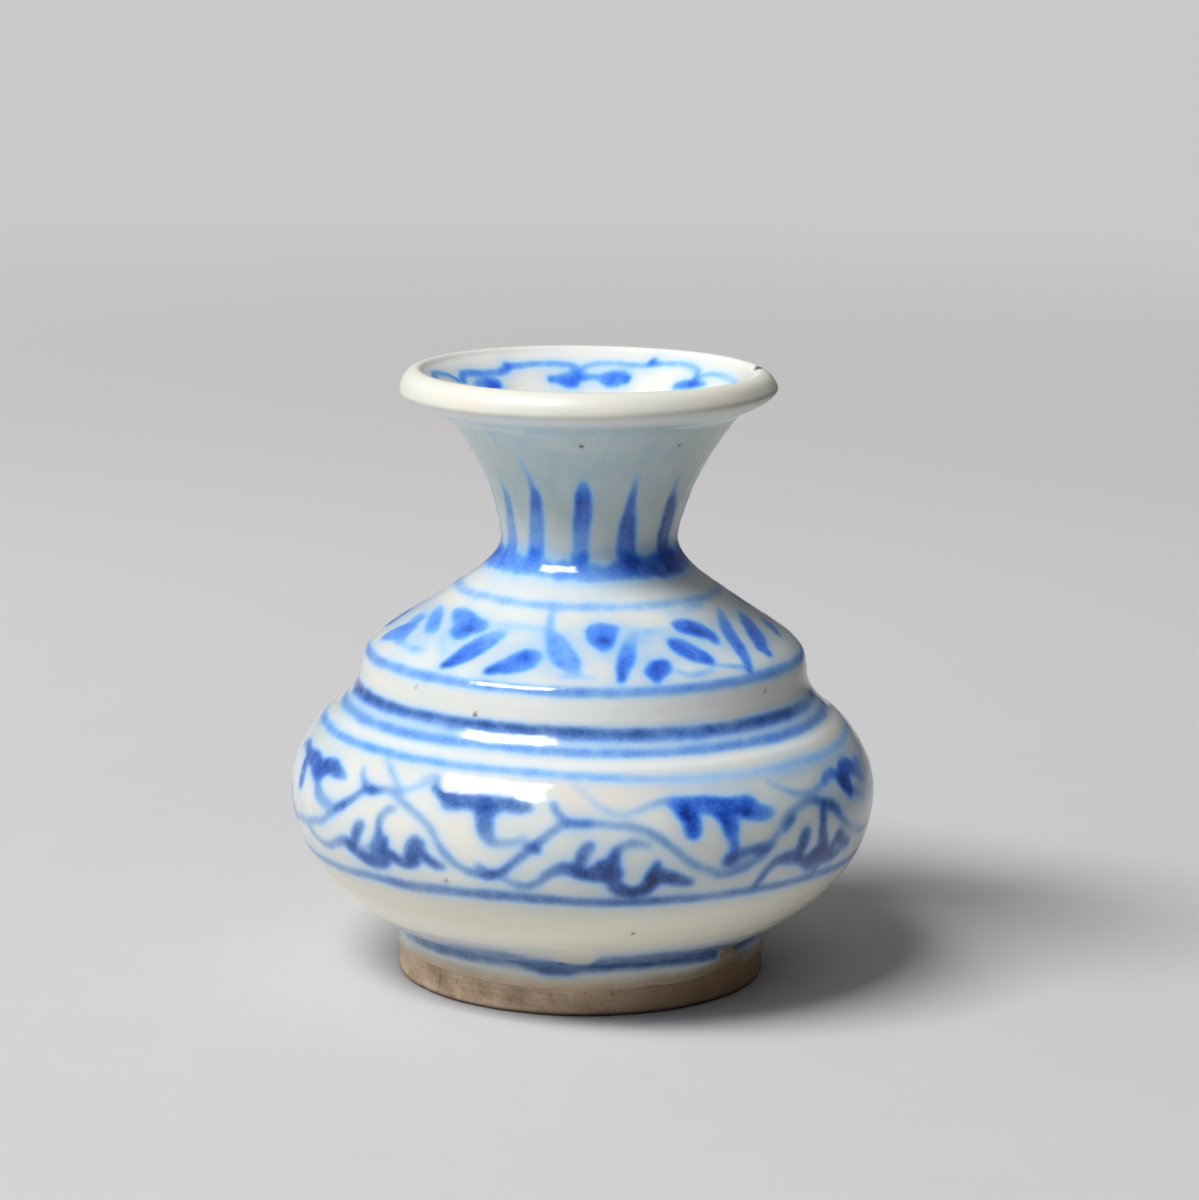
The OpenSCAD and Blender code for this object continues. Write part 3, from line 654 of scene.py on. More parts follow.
# Iron specks of the seen side and some of the back: degrees, height, half width and tone
SPECKS = [(-27.5,35,.15,.85),(-47,36.8,.13,.35),(52,36.4,.14,.5),(-4,63.8,.16,1),(39,63.5,.14,.6),
          (11,12,.13,.8),(-5.6,6.5,.5,.6),(-5.2,6.1,.35,.5),(-26.5,17.8,.2,.6),(-74.8,25.5,.2,.5),
          (104,60,.16,.9),(150,27,.2,.7),(210,40,.16,.8),(230,13,.2,.7),(170,57.5,.14,.8),
          (262,30.8,.16,.8),(128,44.5,.12,.7)]
# The dark chip on the lip's right
CHIP = [(93.5,70.3,.12,.75),(96,70.3,.34,.95),(98.5,70.3,.3,.9),(100,70.3,.12,.6)]


def paint_specks(canvas):
    """The named specks, and thirty small ones on the unseen side."""
    for speck in SPECKS:
        canvas.stroke([speck], layer="iron", soft=.16)
    rng = np.random.default_rng(21)
    for _ in range(30):
        speck = [rng.uniform(*limits) for limits in ((75, 285), (8, 69), (.05, .1), (.3, .7))]
        canvas.stroke([speck], layer="iron", soft=.1)


# The scalloped vine inside the lip, and its buds
MOUTH_ARCS = [
    [(96,68.2,.3,.3),(104,68.4,.36,.42),(112,68.5,.36,.42),(119,68.5,.36,.42),(126,68.3,.34,.45),
     (130,67.9,.34,.5)],
    [(130.2,66.9,.4,.6),(130.4,67.6,.42,.55),(132,68.3,.42,.52),(136,68.8,.42,.5),(143,68.95,.42,.52),
     (150,68.8,.36,.58),(155,68.7,.4,.8)],
    [(154.6,69.1,.26,.7),(155,68.8,.36,.9),(156.5,68.5,.3,.6),(162,68.4,.34,.5),(169,68.55,.34,.48),
     (176,68.5,.34,.5),(180.5,68.2,.34,.52),(184,67.7,.4,.62)],
    [(185.5,67.2,.5,.8),(185.3,67.9,.45,.7),(188,68.3,.36,.6),(194,68.45,.38,.62),(202,68.5,.38,.62),
     (209,68.45,.38,.72),(213.5,68.45,.44,1)],
    [(213,68.6,.32,.9),(215,68.2,.44,.85),(219,67.95,.46,.75),(226,68,.46,.75),(233,68.2,.46,.8),
     (239,68.2,.46,.9),(243,67.7,.44,.9)],
    [(246,67.8,.36,.7),(250,68.5,.38,.7),(256,68.9,.38,.68),(262,69,.38,.65),(268,68.7,.34,.6)]]
MOUTH_BUDS = [
    [(166,67.3,.7,.75),(169.5,67.1,1,.78),(172.5,66.9,.95,.72)],
    [(163.6,67.1,.42,.95),(164.3,66.8,.38,.9)],
    [(168,66.5,.6,.72),(171,66.4,.5,.7)],
    [(177,67.05,.34,.7),(181,67.05,.34,.75),(184,67,.5,.85)],
    [(184,67.1,.6,.8),(188,66.95,.95,.85),(191.5,66.8,.85,.8)],
    [(187,66.4,.5,.8),(190,66.3,.4,.75)],
    [(193.5,66.9,.5,.75),(196.8,66.9,.34,.95)],
    [(223.5,66.9,.5,.95),(227,66.9,.8,1),(231.5,66.9,.85,.85),(236,66.9,.6,.8)],
    [(225,66.5,.4,1.1),(230,66.5,.3,1.05)],
    [(122,67.3,.16,.5),(127,67.2,.3,.85),(131,67.1,.5,.95),(135,66.95,.6,.8),(138.4,66.7,.4,.7)]]
# What the border repeats in its near half, which the lip hides: turn and strokes
ARC_COPIES = ((0, MOUTH_ARCS), (139, MOUTH_ARCS[1:5]), (-105, MOUTH_ARCS[1:3]))
BUD_COPIES = ((0, MOUTH_BUDS), (136, MOUTH_BUDS[:7]), (-106, MOUTH_BUDS[:7]))


def paint_mouth(canvas):
    """The painted border inside the lip."""
    for turn, strokes in ARC_COPIES:
        for stroke in strokes:
            canvas.stroke(stroke, turn=turn, soft=.42, halo=.5, reach=.8)
    for turn, strokes in BUD_COPIES:
        for stroke in strokes:
            canvas.stroke(stroke, turn=turn, soft=.5, halo=.55, reach=.8)


# The glaze coats: how finely they are divided, in columns and mm, and how thick they are
COLUMNS = 720
OUTSIDE_STEP, INSIDE_STEP = 0.3, 0.34
OUTSIDE_SOFT, INSIDE_SOFT = 0.25, 0.12
GLAZE_T = 0.35
THIN_EDGE_SHARE = 0.45
SINK_EVERY = 5
# The shares of the strip map's height that a coat's outside and its back take up
FRONT_STRIP, BACK_STRIP = (0.002, 0.902), (0.915, 0.99)
LAST_STRIP = 0.998


def lean(z):
    """The neck stands a little off the foot's axis, to the right, and the mouth comes back."""
    neck = 0.35 * smooth(34, 44, z) + 0.17 * smooth(44, 50, z) + 0.16 * smooth(52, 57, z)
    return neck - 0.46 * smooth(62, 68, z)


class Skin:
    """A grid of points round the axis: a row for each point of the outline, a column for each angle."""
    def __init__(self, outline, relief, offset):
        self.outline = outline
        self.length = length_along(outline)
        self.angle = -180 + np.arange(COLUMNS) * 360 / COLUMNS
        self.fields = {}
        a = np.radians(self.angle)[None, :]
        flat = 0 * a
        r, z = (outline[:, 0] + offset(outline[:, 1]))[:, None] + flat, outline[:, 1:] + flat
        out_r, out_z = (part[:, None] + flat for part in outward(outline).T)
        push, lift = relief(around(r, a, z), self.length[:, None] + flat, self.angle[None, :] + 0 * r)
        r, z = r + push * out_r, z + push * out_z + lift
        self.points = around(r, a, z, lean(z))
        sideways = (np.roll(self.points, -1, 1) - np.roll(self.points, 1, 1)) / 2
        normals = np.cross(sideways, np.gradient(self.points, axis=0))
        self.normals = normals / np.maximum(np.linalg.norm(normals, axis=-1, keepdims=True), 1e-9)

    def row_at(self, z):
        return int(np.argmin(np.abs(self.outline[:, 1] - z)))

    def band(self, a, b, c, d):
        """A value for each row that rises from height a to b and falls from c to d."""
        return between(a, b, c, d, self.outline[:, 1])[:, None]


def link(name, mesh):
    obj = bpy.data.objects.new(name, mesh)
    bpy.context.scene.collection.objects.link(obj)
    return obj


def set_strips(mesh, uv):
    mesh.polygons.foreach_set("use_smooth", np.ones(len(mesh.polygons), bool))
    layer = mesh.uv_layers.new(name="OFBake")
    layer.data.foreach_set("uv", np.array(uv, np.float32).ravel())


def glaze_piece(name, skin, first, last, thin_first=False):
    """A closed coat of glaze over rows first to last of the skin, with its normals and its pigment."""
    rows = np.arange(first, last + 1)
    back = rows[::-SINK_EVERY]
    if back[-1] != first:
        back = np.append(back, first)
    depth = np.full(len(back), GLAZE_T)
    if thin_first:
        depth[back == first] *= THIN_EDGE_SHARE
    under = skin.points[back] - skin.normals[back] * depth[:, None, None]
    points = np.concatenate([skin.points[rows], under])
    normals = np.concatenate([skin.normals[rows], -skin.normals[back]])
    count = len(points)
    i, j = np.meshgrid(np.arange(count), np.arange(COLUMNS), indexing="ij")
    up, side = (i + 1) % count, (j + 1) % COLUMNS
    corners = [i * COLUMNS + j, i * COLUMNS + side, up * COLUMNS + side, up * COLUMNS + j]
    faces = np.stack(corners, -1).reshape(-1, 4)
    along = skin.length[rows] - skin.length[first]
    low, high = FRONT_STRIP
    front = low + (high - low) * along / along[-1]
    v = np.concatenate([front, np.linspace(*BACK_STRIP, len(back)), [LAST_STRIP]])
    places = [(j, i), (j + 1, i), (j + 1, i + 1), (j, i + 1)]
    uv = np.stack([np.stack([column / COLUMNS, v[row]], -1) for column, row in places], -2)
    mesh = bpy.data.meshes.new(name)
    mesh.vertices.add(points[..., 0].size)
    mesh.vertices.foreach_set("co", (points * MM).astype(np.float32).ravel())
    mesh.loops.add(faces.size)
    mesh.loops.foreach_set("vertex_index", faces.astype(np.int32).ravel())
    mesh.polygons.add(len(faces))
    mesh.polygons.foreach_set("loop_start", np.arange(0, faces.size, 4, dtype=np.int32))
    mesh.update(calc_edges=True)
    set_strips(mesh, uv)
    for key, field in skin.fields.items():
        values = np.concatenate([field[rows], field[back]]).astype(np.float32)
        mesh.attributes.new(key, "FLOAT", "POINT").data.foreach_set("value", values.ravel())
    mesh.validate()
    mesh.normals_split_custom_set_from_vertices(normals.reshape(-1, 3).astype(np.float32))
    return link(name, mesh)


def revolved(name, profile, columns, push=None):
    """A closed solid turned from a profile that starts and ends on the axis."""
    a = np.radians(-180 + np.arange(columns) * 360 / columns)[None, :]
    r, z = profile[1:-1, :1] + 0 * a, profile[1:-1, 1:] + 0 * a
    ends = [[lean(z_end), 0, z_end] for _, z_end in (profile[0], profile[-1])]
    if push is not None:
        r, z = push(r, z, a)
        ends[0][2], ends[1][2] = z[0].mean(), z[-1].mean()
    points = np.concatenate([ends[:1], around(r, a, z, lean(z)).reshape(-1, 3), ends[1:]])
    last, rings = len(points) - 1, len(profile) - 2
    length = length_along(profile)
    v = 0.001 + 0.998 * length / length[-1]
    faces, uv = [], []
    for j in range(columns):
        k, u, w, middle = (j + 1) % columns, j / columns, (j + 1) / columns, (j + 0.5) / columns
        faces.append((0, 1 + k, 1 + j))
        uv += [(middle, v[0]), (w, v[1]), (u, v[1])]
        for i in range(rings - 1):
            low, high = 1 + i * columns, 1 + (i + 1) * columns
            faces.append((low + j, low + k, high + k, high + j))
            uv += [(u, v[i + 1]), (w, v[i + 1]), (w, v[i + 2]), (u, v[i + 2])]
        top = 1 + (rings - 1) * columns
        faces.append((top + j, top + k, last))
        uv += [(u, v[-2]), (w, v[-2]), (middle, v[-1])]
    mesh = bpy.data.meshes.new(name)
    mesh.from_pydata([tuple(p) for p in points * MM], [], faces)
    mesh.update()
    set_strips(mesh, uv)
    return link(name, mesh)


# How the potter's hands and the firing moved the wall: each relief gives a push outward and a lift, in mm
def wavering(p, turn, phase, height, seed):
    """The slow unevenness of a thrown wall."""
    swell = 0.03 * np.sin(2 * turn + phase)
    return swell + height * fractal(p, 5.0, seed) + 0.010 * noise3(p, 1.3, seed + 10)


def turning_rings(s, turn, height, pitch, start, end):
    return height * np.sin(s * 2 * math.pi / pitch + 0.8 * np.sin(turn + 1)) * smooth(start, end, s)


def glaze_edge(p, degrees):
    """How far up the foot the glaze's lower edge lies at each angle."""
    flat = p * [1, 1, 0]
    edge = 0.62 + 0.22 * noise3(flat, 5.5, 91) + 0.12 * noise3(flat, 1.8, 95)
    for height, at, width in ((-1.35, -91, 17), (0.6, 53, 9), (-1.0, 92, 15)):
        edge = edge + height * np.exp(-((degrees - at) / width) ** 2)
    return edge


def outside_relief(p, s, degrees):
    turn, z = np.radians(degrees), p[..., 2]
    push = wavering(p, turn, 0.6, 0.035, 71) + 0.02 * np.sin(3 * turn + z / 9)
    push = push + turning_rings(s, turn, 0.010, 2.3, 3, 6)
    bead = 0.16 * np.exp(-((s - 0.9) / 0.7) ** 2)
    push = push + bead - 0.10 * smooth(0.5, 0, s)
    lip_tilt = 0.3 * np.sin(turn) * between(64.5, 66, 68, 69.2, z)
    return push, glaze_edge(p, degrees) * (1 - smooth(0, 2.8, s)) + lip_tilt


def inside_relief(p, s, degrees):
    turn = np.radians(degrees)
    push = wavering(p, turn, 2.6, 0.03, 171) + turning_rings(s, turn, 0.012, 2.1, 2, 5)
    return push * smooth(0, 1.0, s), 0 * s


def drawn_in(z):
    """The inside follows the outside only where the wall stands further in."""
    return np.minimum(settled(z), 0)


def blurred(values, rows, columns):
    """A slight run of the pigment in the firing."""
    reach = 3
    wide = np.pad(values, [(reach, reach), (0, 0)], mode="edge")
    values = sum(w * wide[k:k + values.shape[0]] for k, w in enumerate(bell(reach, rows)))
    wide = np.pad(values, [(0, 0), (reach, reach)], mode="wrap")
    return sum(w * wide[:, k:k + values.shape[1]] for k, w in enumerate(bell(reach, columns)))


def painted(skin, angle, paints):
    """Lays the paints on a canvas for the skin and keeps their pigments in its fields."""
    canvas = Canvas(angle, skin.outline[:, 1], skin.length, skin.outline[:, 0])
    for paint in paints:
        paint(canvas)
    canvas.stroke(CHIP, layer="iron", soft=.14)
    skin.fields = {"ink": blurred(canvas.ink, 0.8, 1.0), "haze": blurred(canvas.haze, 1.4, 1.7),
                   "iron": canvas.iron, "steel": blurred(canvas.steel, 1.0, 1.2)}
    return canvas


def tint_outside(skin, p):
    """Where the glaze is greener, creamier, paler, thin or dull, some of it painted shade and painted light,
    for points p of the canvas.
    """
    z = skin.outline[:, 1][:, None]
    turn = np.radians(skin.angle)[None, :]
    right = np.sin(turn)
    clouds = fractal(p, 9.0, 401)
    # The trumpet's own greener tone runs up to just under the lip, where it is also painted shade on the
    # strip that faces down.
    trumpet = skin.band(50, 57, 66.3, 66.8) * (0.60 + 0.30 * np.cos(turn + 0.45))
    cool_and_painted_shade = trumpet + 0.25 * skin.band(49, 50.5, 66.3, 66.8)
    # Painted shade: the upper belly is greener and darker on the left, the lit side.
    cool_and_painted_shade = cool_and_painted_shade + 0.42 * skin.band(27.5, 29.5, 33, 33.6) * smooth(0.1, -0.9, right)
    warm_and_painted_light = 1.15 * smooth(17, 13, z) + 0.5 * smooth(66.2, 67.0, z) + 0.4 * skin.band(34.6, 35.2, 37.2, 37.9)
    # Painted light: the step band is paler from the front round to the right, and the shoulder paler on the
    # right, where the lamp reaches less.
    pale_and_painted_light = skin.band(34.6, 35.2, 37.2, 37.9) * smooth(-0.7, 0, right)
    pale_and_painted_light = pale_and_painted_light + 0.6 * skin.band(38.6, 40, 47.2, 47.8) * smooth(0.1, 0.6, right)
    skin.fields["cool_and_painted_shade"] = np.clip(cool_and_painted_shade + 0.3 * clouds * smooth(38, 40, z), 0, 1)
    # Painted light, partly the glaze's own cream: the lower belly, 17 to 27.5 mm up, is made lighter and
    # creamier all round.
    skin.fields["warm_and_painted_light"] = np.clip(warm_and_painted_light + 0.6 * skin.band(17, 18.5, 24.5, 27.5) * (0.7 + 0.6 * clouds), 0, 1)
    skin.fields["pale_and_painted_light"] = pale_and_painted_light + 0.4 * skin.band(30.2, 30.5, 31.1, 31.4)
    skin.fields["dull"] = smooth(65.8, 66.6, z) + 0 * turn
    skin.fields["thin"] = smooth(4.7, 2.9, z - bare_reach(p, turn))
    # Painted shade: a little iron brown greys the corner between bowl and foot, where shade falls.
    crease_shade = 0.16 * smooth(9, 7.4, z) * smooth(4.7, 5.4, z)
    skin.fields["iron"] = np.maximum(skin.fields["iron"], crease_shade)


def bare_reach(p, turn):
    """How far up the coat is thin over the clay: more on the right, and most at one worn spot."""
    degrees = np.degrees(turn)
    worn_spot = 3.7 * np.exp(-((degrees - 52.5) / 3.8) ** 4) + 0.8 * np.exp(-((degrees - 60) / 12) ** 2)
    uneven = 0.35 * noise3(p, 5.0, 411) + 0.15 * noise3(p, 1.6, 415)
    return worn_spot + 0.6 * smooth(-0.1, 0.6, np.sin(turn - 0.1)) + uneven


def tint_inside(skin):
    none = 0 * skin.fields["ink"]
    dull = smooth(69.2, 70.1, skin.outline[:, 1])[:, None]
    # Painted light: the inner skin is paler all over, to lift the shade inside the mouth.
    for key, level in {"dull": dull, "pale_and_painted_light": 0.5, "thin": 0, "cool_and_painted_shade": 0, "warm_and_painted_light": 0.3}.items():
        skin.fields[key] = level + none


outer = Skin(resampled(softened(outside_path(), OUTSIDE_SOFT), OUTSIDE_STEP), outside_relief, settled)
inner = Skin(resampled(softened(inside_path(), INSIDE_SOFT), INSIDE_STEP), inside_relief, drawn_in)
# The two skins share the lip's crest
inner.points[0] = outer.points[-1]
join = outer.normals[-1] + inner.normals[0]
inner.normals[0] = outer.normals[-1] = join / np.linalg.norm(join, axis=-1, keepdims=True)
outside_paints = (paint_belly, paint_belly_back, paint_shoulder, paint_neck, paint_foot, paint_specks)
tint_outside(outer, painted(outer, outer.angle, outside_paints).p)
painted(inner, inner.angle % 360, (paint_mouth,))
tint_inside(inner)

seams = [0] + [outer.row_at(z) for z in (WIDEST_Z, GROOVE_Z, NECK_Z)] + [len(outer.outline) - 1]
coats = zip(("bowl_glaze", "belly_glaze", "shoulder_glaze", "trumpet_glaze"), seams[:-1], seams[1:])
glazes = [glaze_piece(name, outer, low, high, thin_first=low == 0) for name, low, high in coats]
mouth = glaze_piece("mouth_glaze", inner, 0, len(inner.outline) - 1)


# The hidden coat inside, from the foot of the throat to the middle of the floor
INSIDE_COLUMNS = 180


def hollow_path():
    vault, band, wide, basin = (20.55, 37.6), (22.8, 34.5), (30.5, 21.9), (14, 9.3)
    return np.vstack([
        [THROAT_LOW],
        bend(THROAT_LOW, (0, .35), (.5, .42), vault, 24),
        bend(vault, (.45, .2), (0, .3), band, 10),
        bend(band, (0, .42), (0, .42), wide, 20),
        bend(wide, (0, .6), (.6, 0), basin, 20),
        straight(basin, (0, basin[1]), 14)])


def inside_coat():
    hollow = hollow_path()
    back = (hollow - outward(hollow) * GLAZE_T)[::-1]
    back[0] = (0, hollow[-1, 1] - GLAZE_T)
    back[-1] = (hollow[0, 0] + GLAZE_T, hollow[0, 1])
    return revolved("inside_glaze", np.vstack([back, hollow]), INSIDE_COLUMNS)


# The bare foot: a ring with a shallow recess under the floor
FOOT_TOP, RECESS_Z = 5.9, 5.55
RECESS_LOW_R, RECESS_HIGH_R = 17.1, 16.4
FOOT_COLUMNS = 540
# Dents of the foot's edge: degrees, height, half angle and depth
DENTS = ((-58, .2, 2.4, .14), (-31, .1, 1.6, .1), (14, .1, 2.2, .2), (37, .3, 1.5, .12), (96, .2, 3, .5),
         (155, .1, 2, .4), (231, .2, 3.4, .5))


def foot_profile():
    middle, top_middle = (0, RECESS_Z), (0, FOOT_TOP)
    roof, wall_top = (RECESS_HIGH_R - 1.2, RECESS_Z - .05), (RECESS_HIGH_R + .05, RECESS_Z - 1.1)
    wall_foot, rest_in, rest_out = (RECESS_LOW_R, .55), (RECESS_LOW_R + .55, 0), (20.65, 0)
    edge, shoulder, top = (21.1, .45), (20.85, 3.8), (20.62, FOOT_TOP)
    return np.vstack([
        [middle],
        straight(middle, roof, 60),
        bend(roof, (.7, 0), (0, .5), wall_top, 8),
        straight(wall_top, wall_foot, 20),
        bend(wall_foot, (0, .6), (.6, 0), rest_in, 6),
        straight(rest_in, rest_out, 16),
        bend(rest_out, (.6, 0), (0, .6), edge, 6),
        bend(edge, (0, .3), (.03, .3), shoulder, 24),
        straight(shoulder, top, 6),
        straight(top, top_middle, 12)])


def worn(r, z, a):
    """Turning marks, dents and wear of the foot."""
    p = around(r, a, z)
    recess = (z < 5.7) & (r < 16)
    spiral = 0.05 * np.sin(2 * math.pi * r / 1.7 + a) * recess * smooth(0.3, 2, r)
    dents = 0
    for at, height, width, depth in DENTS:
        away = (np.degrees(a) - at + 180) % 360 - 180
        near = np.exp(-away ** 2 / width ** 2 - ((z - height) / 0.7) ** 2 - ((r - 20.6) / 0.9) ** 2)
        dents = dents + depth * near
    rough = 0.05 * fractal(p, 1.6, 301) + 0.07 * noise3(p, 4.5, 311) + 0.03 * np.sin(z * 9 + 0.6 * np.sin(a))
    moved = r + (rough * smooth(5.6, 4.2, z) - dents) * (r > 16)
    rest = np.maximum(z + 0.03 * (1 + noise3(p, 0.9, 321)) * (moved > 16.5), 0)
    return moved, np.where(z < 0.6, rest, z) + spiral


def leaned(name, node):
    """A copy of a CAD solid that leans and draws in as the neck does."""
    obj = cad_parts[node].copy()
    obj.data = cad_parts[node].data.copy()
    obj.name = obj.data.name = name
    for key in [key for key in obj.keys() if key.startswith("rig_")]:
        del obj[key]
    obj.parent = None
    place = np.empty(len(obj.data.vertices) * 3, np.float32)
    obj.data.vertices.foreach_get("co", place)
    place = place.reshape(-1, 3)
    height, radius = place[:, 2] / MM, np.hypot(place[:, 0], place[:, 1])
    place[:, :2] *= (1 + drawn_in(height) * MM / np.maximum(radius, MM))[:, None]
    place[:, 0] += lean(height) * MM
    obj.data.vertices.foreach_set("co", place.ravel())
    obj.data.update()
    bpy.context.scene.collection.objects.link(obj)
    return obj


inside = inside_coat()
foot = revolved("foot_clay", foot_profile(), FOOT_COLUMNS, worn)
LEANING = {"shoulder_step": "shoulder_clay", "neck_luting_slip": "neck_slip", "trumpet_neck": "trumpet_clay"}
leaning = {node: leaned(name, node) for node, name in LEANING.items()}


# Materials
class Graph:
    """Short ways to add and link the nodes of one material or world."""
    def __init__(self, tree):
        self.tree = tree
        tree.nodes.clear()

    def add(self, kind, links=None, **settings):
        node = self.tree.nodes.new("ShaderNode" + kind)
        for key, value in settings.items():
            if key in node.inputs:
                node.inputs[key].default_value = value
            else:
                setattr(node, key, value)
        for key, source in (links or {}).items():
            self.tree.links.new(source, node.inputs[key])
        return node

    def put(self, socket, value):
        if isinstance(value, (int, float, tuple)):
            socket.default_value = value
        else:
            self.tree.links.new(value, socket)

    def math(self, operation, a, b, clamp=False):
        node = self.tree.nodes.new("ShaderNodeMath")
        node.operation, node.use_clamp = operation, clamp
        self.put(node.inputs[0], a)
        self.put(node.inputs[1], b)
        return node.outputs[0]

    def times(self, a, b, clamp=False):
        return self.math("MULTIPLY", a, b, clamp)

    def plus(self, a, b):
        return self.math("ADD", a, b)

    def vector(self, operation, a, b):
        node = self.tree.nodes.new("ShaderNodeVectorMath")
        node.operation = operation
        self.put(node.inputs[0], a)
        self.put(node.inputs[1], b)
        return node.outputs[0]

    def mix(self, factor, a, b):
        node = self.tree.nodes.new("ShaderNodeMix")
        node.data_type = "RGBA"
        for k, value in ((0, factor), (6, a), (7, b)):
            self.put(node.inputs[k], value)
        return node.outputs[2]

    def place(self):
        return self.add("TexCoord").outputs["Object"]

    def axis(self, name):
        return self.add("SeparateXYZ", {"Vector": self.place()}).outputs[name]

    def step(self, value, start, end):
        """0 before start and 1 past end, softly."""
        node = self.add("MapRange", {"Value": value}, interpolation_type="SMOOTHSTEP")
        node.inputs["From Min"].default_value, node.inputs["From Max"].default_value = start, end
        return node.outputs[0]

    def noise(self, scale, detail=2.0, roughness=0.5, stretch=None):
        coord = self.place()
        if stretch:
            coord = self.add("Mapping", {"Vector": coord}, Scale=stretch).outputs[0]
        node = self.add("TexNoise", {"Vector": coord}, Scale=scale, Detail=detail, Roughness=roughness)
        return node.outputs["Fac"]

    def centred(self, noise, amount):
        return self.times(self.math("SUBTRACT", noise, 0.5), amount)

    def attribute(self, name):
        return self.add("Attribute", attribute_name=name).outputs["Fac"]

    def ramp(self, factor, stops):
        node = self.add("ValToRGB", {"Fac": factor})
        elements = node.color_ramp.elements
        while len(elements) < len(stops):
            elements.new(0.5)
        for k, (at, colour) in enumerate(stops):
            elements[k].position, elements[k].color = at, colour
        return node.outputs["Color"]

    def flecks(self, noise, start, end, strength):
        """Small places where the noise is low."""
        return self.ramp(noise, [(start, (strength,) * 3 + (1,)), (end, (0, 0, 0, 1))])

    def surface(self, colour, height, bump, distance, roughness, **settings):
        normal = self.add("Bump", {"Height": height}, Strength=bump, Distance=distance).outputs[0]
        links = {"Base Color": colour, "Normal": normal, "Roughness": roughness}
        shader = self.add("BsdfPrincipled", links, **settings)
        self.add("OutputMaterial", {"Surface": shader.outputs[0]})


def new_material(name):
    material = bpy.data.materials.new(name)
    material.use_nodes = True
    return material, Graph(material.node_tree)


def rgb(red, green_and_painted_shade, blue):
    """A display colour, each part 0 to 255, as scene values."""
    shares = (part / 255 for part in (red, green_and_painted_shade, blue))
    return tuple(((s + 0.055) / 1.055) ** 2.4 if s > 0.04 else s / 12.92 for s in shares) + (1.0,)


# Pigment over the ground: amount of ink and display colour
GROUND = (226, 230, 228)
COBALT = [(0, GROUND), (.1, (214, 229, 240)), (.2, (200, 226, 249)), (.35, (165, 208, 250)),
          (.5, (131, 184, 249)), (.7, (99, 155, 243)), (.85, (79, 134, 232)), (1.0, (60, 112, 213)),
          (1.2, (40, 84, 178)), (1.4, (22, 52, 118)), (1.6, (12, 28, 64))]
STEEL = [(0, GROUND), (.2, (198, 216, 232)), (.35, (172, 199, 227)), (.5, (147, 179, 216)),
         (.7, (116, 152, 200)), (.85, (93, 130, 186)), (1.0, (74, 110, 170)), (1.2, (54, 86, 142)),
         (1.4, (37, 60, 104)), (1.6, (24, 38, 66))]
PIGMENT_TOP = 1.6
# The glaze's own tones, from bluish to creamy, and its greener ones on the trumpet, which also serve as
# painted shade
BODY_TONES = [(0.36, rgb(219, 228, 229)), (0.5, rgb(230, 232, 226)), (0.64, rgb(238, 229, 217))]
GREEN_AND_PAINTED_SHADE_TONES = [(0.35, rgb(196, 213, 209)), (0.65, rgb(211, 220, 212))]
# The creamy and pale tones also serve as painted light, and the iron brown also as painted shade in the
# corner above the foot.
WARM_AND_PAINTED_LIGHT, PALE_AND_PAINTED_LIGHT, HAZE, IRON_AND_PAINTED_SHADE = rgb(243, 239, 222), rgb(247, 248, 245), rgb(164, 204, 243), rgb(74, 60, 44)
BRIGHTEST = (0.94, 0.94, 0.94)
GLAZE_IOR = 1.5


def pigment_colour(graph, fine, broad):
    """Cobalt or its greyer steel blue, grainy as the brush left it."""
    grain = graph.plus(graph.centred(fine, 0.52), graph.centred(broad, 0.42))
    depth = graph.math("DIVIDE", graph.times(graph.attribute("ink"), graph.plus(grain, 1.0)), PIGMENT_TOP)
    cobalt, steel = (graph.ramp(depth, [(at / PIGMENT_TOP, rgb(*colour)) for at, colour in tones])
                     for tones in (COBALT, STEEL))
    return graph.mix(graph.attribute("steel"), cobalt, steel)


def ground_colour(graph, broad):
    """The glaze itself, from the greener trumpet to the creamy bowl, with painted shade and painted light in
    some bands, and the blue haze beside the lines.
    """
    streak = graph.noise(420, 3, 0.6, stretch=(1, 1, 0.22))
    cloud = graph.plus(graph.times(graph.noise(120, 3), 0.65), graph.times(streak, 0.35))
    body, green_and_painted_shade = graph.ramp(cloud, BODY_TONES), graph.ramp(streak, GREEN_AND_PAINTED_SHADE_TONES)
    for field, tone in (("cool_and_painted_shade", green_and_painted_shade), ("warm_and_painted_light", WARM_AND_PAINTED_LIGHT), ("pale_and_painted_light", PALE_AND_PAINTED_LIGHT)):
        body = graph.mix(graph.attribute(field), body, tone)
    haze = graph.times(graph.attribute("haze"), graph.plus(graph.times(broad, 0.4), 0.8), True)
    return graph.mix(haze, body, HAZE)


def thin_coat_colour(graph, broad):
    """Clay that shows through the thin edge, darker towards the right."""
    coat = graph.mix(broad, rgb(200, 177, 148), rgb(222, 202, 174))
    return graph.mix(graph.times(graph.step(graph.axis("X"), 0.004, 0.018), 0.8), coat, rgb(138, 114, 92))


